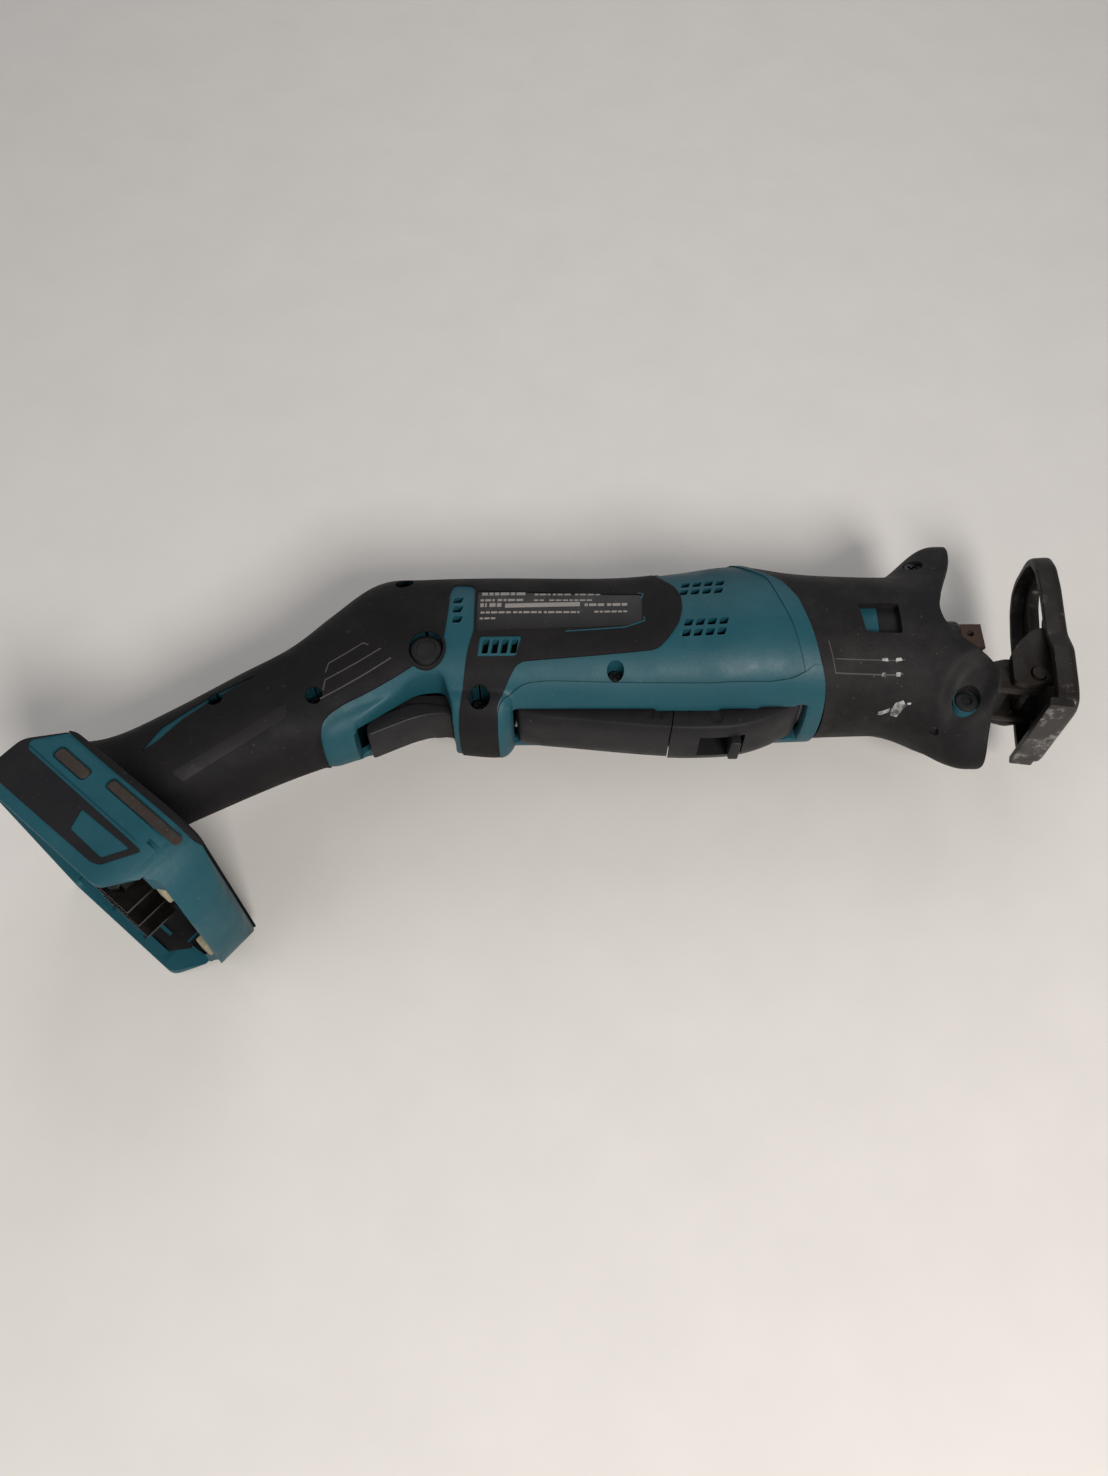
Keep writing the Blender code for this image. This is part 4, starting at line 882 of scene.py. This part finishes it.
# ------------------------------------------------------------------------ small fixings
def screw(name, centre, axis, head, tall, shank, length, node, material):
    """A pan-head screw with a cross recess; centre is under the head."""
    axis = Vector(axis)
    profile = ((0, -length), (shank, -length), (shank, 0), (head, 0), (head, tall * 0.55),
               (head * 0.93, tall * 0.8), (head * 0.75, tall), (0, tall))
    body = turned(name, profile, centre, axis, 32)
    side = axis.orthogonal().normalized()
    other = axis.cross(side)
    base_at = Vector(centre)
    for a, b in ((side, other), (other, side)):
        corners = []
        for u, v in ((-0.62, -0.13), (0.62, -0.13), (0.62, 0.13), (-0.62, 0.13)):
            corners.append(a * u * head + b * v * head)
        rings = [[tuple(base_at + c + axis * h) for c in corners]
                 for h in (tall * 0.45, tall + 1)]
        cut(body, skin("cross", rings))
    return piece(body, "tool", material, (node,))


for i, (x, y, floor, wide) in enumerate(SCREWS):
    screw(f"screw_head_{i + 1}", (x, y, floor + 0.3), (0, 0, 1), min(2.9, wide - 0.4), 1.9,
          1.7, 2 * floor - 3.3, f"housing_screw_{i + 1}", SCREW)
for i, side in enumerate((1, -1)):
    screw(f"boot_screw_head_{i + 1}", (*BOOT_SCREW_AT, 7.5 * side), (0, 0, side), 3.0, 2.0,
          1.6, 4.0, f"boot_screw_{i + 1}", SCREW)

# ------------------------------------------------------------------------------ controls
trigger = prism("trigger_blade", rounded([(x, y + (0.7 if y > 7 else 0)) for x, y in
                                          TRIGGER_SIDE], 1.6), -8.2, 8.2)
bevelled(trigger, 1.2)
ledge = ((-70.0, -1.0), (-64.0, 1.6), (-49.5, 8.4), (-44.0, 8.8), (-30.0, 6.6), (-30.0, 30.0),
         (-70.0, 30.0))
cut(trigger, *[sided(ledge, 7.1, 12.0, s, None, "ledge") for s in (1, -1)])
piece(trigger, "trigger", PLASTIC, ("trigger",))

bar = ((0, -25.2), (4.2, -25.2), (5.1, -24.8), (5.4, -24.0), (5.4, -12.8), (2.6, -12.8),
       (2.6, 12.8), (5.4, 12.8), (5.4, 24.4), (5.1, 25.2), (4.2, 25.6), (3.4, 25.6),
       (3.2, 25.1), (0, 25.0))
button = turned("lock_off_button", bar, (*BUTTON_AT, 0), (0, 0, 1), 48)
piece(button, "lock_off_bar", PLASTIC, ("lock_off_bar",))


def fairing(name, stations, half, top, deep, power):
    """A half-round moulding along x: (x, bottom) stations, flat on top."""
    rings = []
    for x, bottom in stations:
        drop = min(deep, top - bottom - 0.4)
        ring = [(x, top, half)]
        for i in range(13):
            a = math.pi * i / 12
            c, s = math.cos(a), math.sin(a)
            reach = (abs(c) ** power + abs(s) ** power) ** (-1 / power)
            ring.append((x, bottom + drop - drop * s * reach, half * c * reach))
        ring.append((x, top, -half))
        rings.append(ring)
    return skin(name, rings)


paddle_line = ((-12.9, 6.0), (-12.6, 4.5), (-11.8, 3.1), (-9.5, 2.1), (-4.0, 1.3), (8.0, 0.1),
               (20.0, -1.2), (30.0, -2.2), (38.0, -2.8), (42.0, -3.0))
paddle = fairing("paddle_blade", paddle_line, 10.4, 12.2, 3.6, 4.0)
sweep_in = rod("reach", PADDLE_REACH, (*PADDLE_AT, -30), (*PADDLE_AT, 30), 160)
within(paddle, sweep_in)
hull_top = ((-14.0, -20.0), (60.0, -20.0), (60.0, 3.6), (40.4, 5.4), (30.0, 5.6),
            (10.0, 8.6), (-2.0, 11.8), (-8.0, 12.6), (-12.6, 10.8), (-14.0, 10.0))
within(paddle, zone("paddle_hull", hull_top))
for line_x in (33.0, 36.0):
    side_cut = [sided(((line_x, 1.6), (line_x + 0.5, 1.6), (line_x + 0.5, 4.6),
                       (line_x, 4.6)), 10.0, 12, s, None, "rib_line") for s in (1, -1)]
    cut(paddle, *side_cut)
piece(bevelled(paddle, 0.5, 2), "paddle", PLASTIC, ("paddle_lever",))

guard = fairing("paddle_fairing", curve_points(GUARD_BOTTOM, 5), 10.9, 8.8, 4.4, 3.6)
sweep_out = rod("sweep", PADDLE_REACH + 0.35, (*PADDLE_AT, -30), (*PADDLE_AT, 30), 160)
channel = prism("channel", rounded(((49.4, -15.0), (65.0, -15.0), (65.0, 3.5), (49.4, 3.5)),
                                   1.0), -6.0, 6.0)
guard_cuts = [sweep_out, channel]
for s in (1, -1):
    guard_cuts += [sided(((50.2, 4.4), (80.0, 5.6), (80.0, 6.0), (50.2, 4.8)), 10.5, 13, s,
                         None, "crease"),
                   rod("pin_dot", 0.8, (46.0, 4.8, 10.3 * s), (46.0, 4.8, 13 * s), 16),
                   rod("round_mark", 2.2, (55.0, 1.6, 10.4 * s), (55.0, 1.6, 13 * s), 24)]
cut(guard, *guard_cuts, solver="EXACT")
piece(bevelled(guard, 0.35, 2), "tool", PLASTIC, ("paddle_guard",))

lock = block("lock_tab", (60.0, -5.6, -5.4), (63.6, 2.8, 5.4))
bevelled(lock, 0.7, 3)
cut(lock, *[block("tab_line", (59.0, -4.6 + 1.5 * k, -6), (60.35, -4.0 + 1.5 * k, 6))
            for k in range(3)])
piece(lock, "paddle_lock", PLASTIC, ("paddle_lock",))

push = turned("shoe_button", ((0, 8.5), (3.8, 8.5), (3.8, 17.0), (3.5, 17.7), (2.9, 18.0),
                              (1.9, 18.0), (1.6, 17.0), (0, 16.8)),
              (*SHOE_BUTTON_AT, 0), (0, 0, 1), 40)
piece(push, "shoe_lock_button", PLASTIC, ("shoe_lock_button",))

# ------------------------------------------------------------------------ shoe, bracket
shoe_outline = rounded([(-w, y) for w, y in reversed(SHOE_SIDE)] + list(SHOE_SIDE), 2.2, 5)
SHOE_MIDDLE_Y = 36.0
SHOE_HALF_WIDTH, SHOE_HALF_HEIGHT = 21.5, 36.0
SHOE_PLATE = 3.4


def shoe_rings(shrink, *stations):
    """The outline of the shoe, drawn in by shrink, once for each x in stations."""
    ring = [(w - w / SHOE_HALF_WIDTH * shrink,
             y - (y - SHOE_MIDDLE_Y) / SHOE_HALF_HEIGHT * shrink) for w, y in shoe_outline]
    return [[(x, y, w) for w, y in ring] for x in stations]


back = SHOE_FRONT - SHOE_PLATE
rings = []
for x, shrink in ((back - 4.0, 1.4), (back - 3.7, 0.9), (back - 2.9, 0.6), (back + 0.6, 0.1),
                  (SHOE_FRONT - 1.6, 0.0), (SHOE_FRONT - 0.8, 0.25), (SHOE_FRONT - 0.25, 0.8),
                  (SHOE_FRONT, 1.7)):
    rings += shoe_rings(shrink, x)
shoe = skin("shoe_plate", rings)
cut(shoe, skin("dish", shoe_rings(3.4, back - 12.0, SHOE_FRONT - 3.2)),
    prism("blade_way", rounded(((-3.4, 28.0), (3.4, 28.0), (3.4, 47.0), (6.0, 49.5),
                                (5.0, 60.0), (2.4, 66.5), (-2.4, 66.5), (-5.0, 60.0),
                                (-6.0, 49.5), (-3.4, 47.0)), 1.4), back - 9.0,
          SHOE_FRONT + 2.0, lambda w, y, x: (x, y, w)), solver="EXACT")
gusset = rounded(((157.5, 13.4), (163.0, 12.4), (171.5, 15.0), (173.4, 17.0), (173.4, 38.5),
                  (170.5, 38.0), (165.0, 35.5), (160.5, 30.5), (157.4, 25.0)), 1.6)
lip_side = ((166.0, 1.0), (174.0, 1.0), (174.0, 4.2), (166.4, 4.2))
lugs = [prism(f"lug_{k}", gusset, w0, w0 + 3.0) for k, w0 in enumerate((10.8, -13.8))]
lugs.append(prism("wear_lip", rounded(lip_side, 0.8), -20.0, 20.0))
join(shoe, *lugs, solver="EXACT")
cut(shoe, rod("pin_way", 2.8, (*SHOE_PIN_AT, -30), (*SHOE_PIN_AT, 30), 32), solver="EXACT")
bevelled(shoe, 0.4, 2)
pin = (Vector((*SHOE_PIN_AT, 0.0)) + SHIFT) * MM
shoe.data.transform(Matrix.Translation(pin) @ Matrix.Rotation(SHOE_TILT, 4, "Z")
                    @ Matrix.Translation(-pin))
piece(shoe, "shoe", STEEL_BLACK, ("shoe",))
shoe.data.materials.append(STEEL_WORN)
for face in shoe.data.polygons:
    if face.normal.y < -0.55 and face.center.y / MM - SHIFT.y < 9.0:
        face.material_index = 1

bracket = block("bracket_bar", (114.0, 15.0, -10.0), (158.0, 19.0, 10.0))
ears = []
for k, side in enumerate((1, -1)):
    ear = ((148.0, 15.0), (161.0, 12.8), (167.5, 12.8), (170.6, 15.6), (170.6, 19.4),
           (167.5, 22.2), (158.0, 26.0), (150.0, 24.0), (146.0, 19.0))
    ears.append(sided(rounded(ear, 2.2), 7.4, 10.4, side, None, f"ear_{k}"))
join(bracket, *ears, solver="EXACT")
cut(bracket, rod("ear_hole", 2.8, (*SHOE_PIN_AT, -30), (*SHOE_PIN_AT, 30), 32),
    solver="EXACT")
piece(bevelled(bracket, 0.5, 2), "shoe_bracket", STEEL_BLACK,
      ("shoe_bracket",))

# ------------------------------------------------------------- CAD nodes that still show
CAD_LOOK = {
    "gear_case": ALLOY, "gear_case_cover": ALLOY, "slider": SCREW, "shoe_pin": STEEL_BLACK,
    "blade_holder": RUST, "clamp_sleeve": STEEL_BLACK, "slider_seal": BLACK,
    "slider_bush_front": BRASS, "slider_bush_rear": BRASS, "terminal_positive": CONTACT,
    "terminal_negative": CONTACT, "terminal_signal": CONTACT, "paddle_pin": BRIGHT,
    "motor_can": STEEL_BLACK, "scotch_yoke": ALLOY, "crank_gear": ALLOY,
    "crank_pin": BRIGHT, "controller": PLASTIC, "switch_body": PLASTIC,
    "fan": PLASTIC, "armature": BRIGHT, "brush_holder": PLASTIC, "motor_magnets": STEEL_BLACK,
    "crank_bearing_lower": BRIGHT, "crank_bearing_upper": BRIGHT,
    "motor_bearing_rear": BRIGHT, "motor_bearing_front": BRIGHT,
}
for name, material in CAD_LOOK.items():
    for slot in frame["nodes"][name].material_slots:
        slot.material = material

# -------------------------------------------------------------------- floor, light, camera
floor_mat = surface("pale_floor", (0.63, 0.60, 0.565), 0.55, mottle=0.02)
bm = bmesh.new()
corners = [bm.verts.new(((x, y, -0.0006))) for x, y in ((-4, -4), (4, -4), (4, 4), (-4, 4))]
bm.faces.new(corners)
floor = object_from("floor", bm)
floor.data.materials.append(floor_mat)

world_light = bpy.data.worlds.new("studio")
world_light.use_nodes = True
world_light.node_tree.nodes["Background"].inputs["Color"].default_value = (0.93, 0.95, 1, 1)
world_light.node_tree.nodes["Background"].inputs["Strength"].default_value = 0.28
bpy.context.scene.world = world_light
bpy.context.scene.view_settings.view_transform = "Standard"


def area(name, place, look, size, power, colour=(1, 1, 1)):
    data = bpy.data.lights.new(name, "AREA")
    data.size = size
    data.energy = power
    data.color = colour
    lamp = bpy.data.objects.new(name, data)
    lamp.location = place
    lamp.rotation_euler = (Vector(look) - Vector(place)).to_track_quat("-Z", "Y").to_euler()
    bpy.context.scene.collection.objects.link(lamp)


area("key", (0.34, -0.78, 0.80), (0, 0, 0.03), 0.34, 12.5, (1.0, 0.97, 0.93))
area("fill", (-0.8, -0.5, 0.9), (0, 0, 0.03), 1.2, 3.0)
area("back", (0.1, 0.9, 0.8), (0, 0, 0.03), 0.8, 2.5)

camera_data = bpy.data.cameras.new("camera")
camera_data.lens = 28
camera_data.sensor_width = 36
camera = bpy.data.objects.new("camera", camera_data)
bpy.context.scene.collection.objects.link(camera)
target = Vector((SHIFT.x * MM, SHIFT.y * MM, SHIFT.z * MM))
tilt = math.radians(30)
camera.location = target + Vector((0, -math.sin(tilt), math.cos(tilt))) * 0.396
camera.rotation_euler = (tilt, 0, 0)
bpy.context.scene.camera = camera
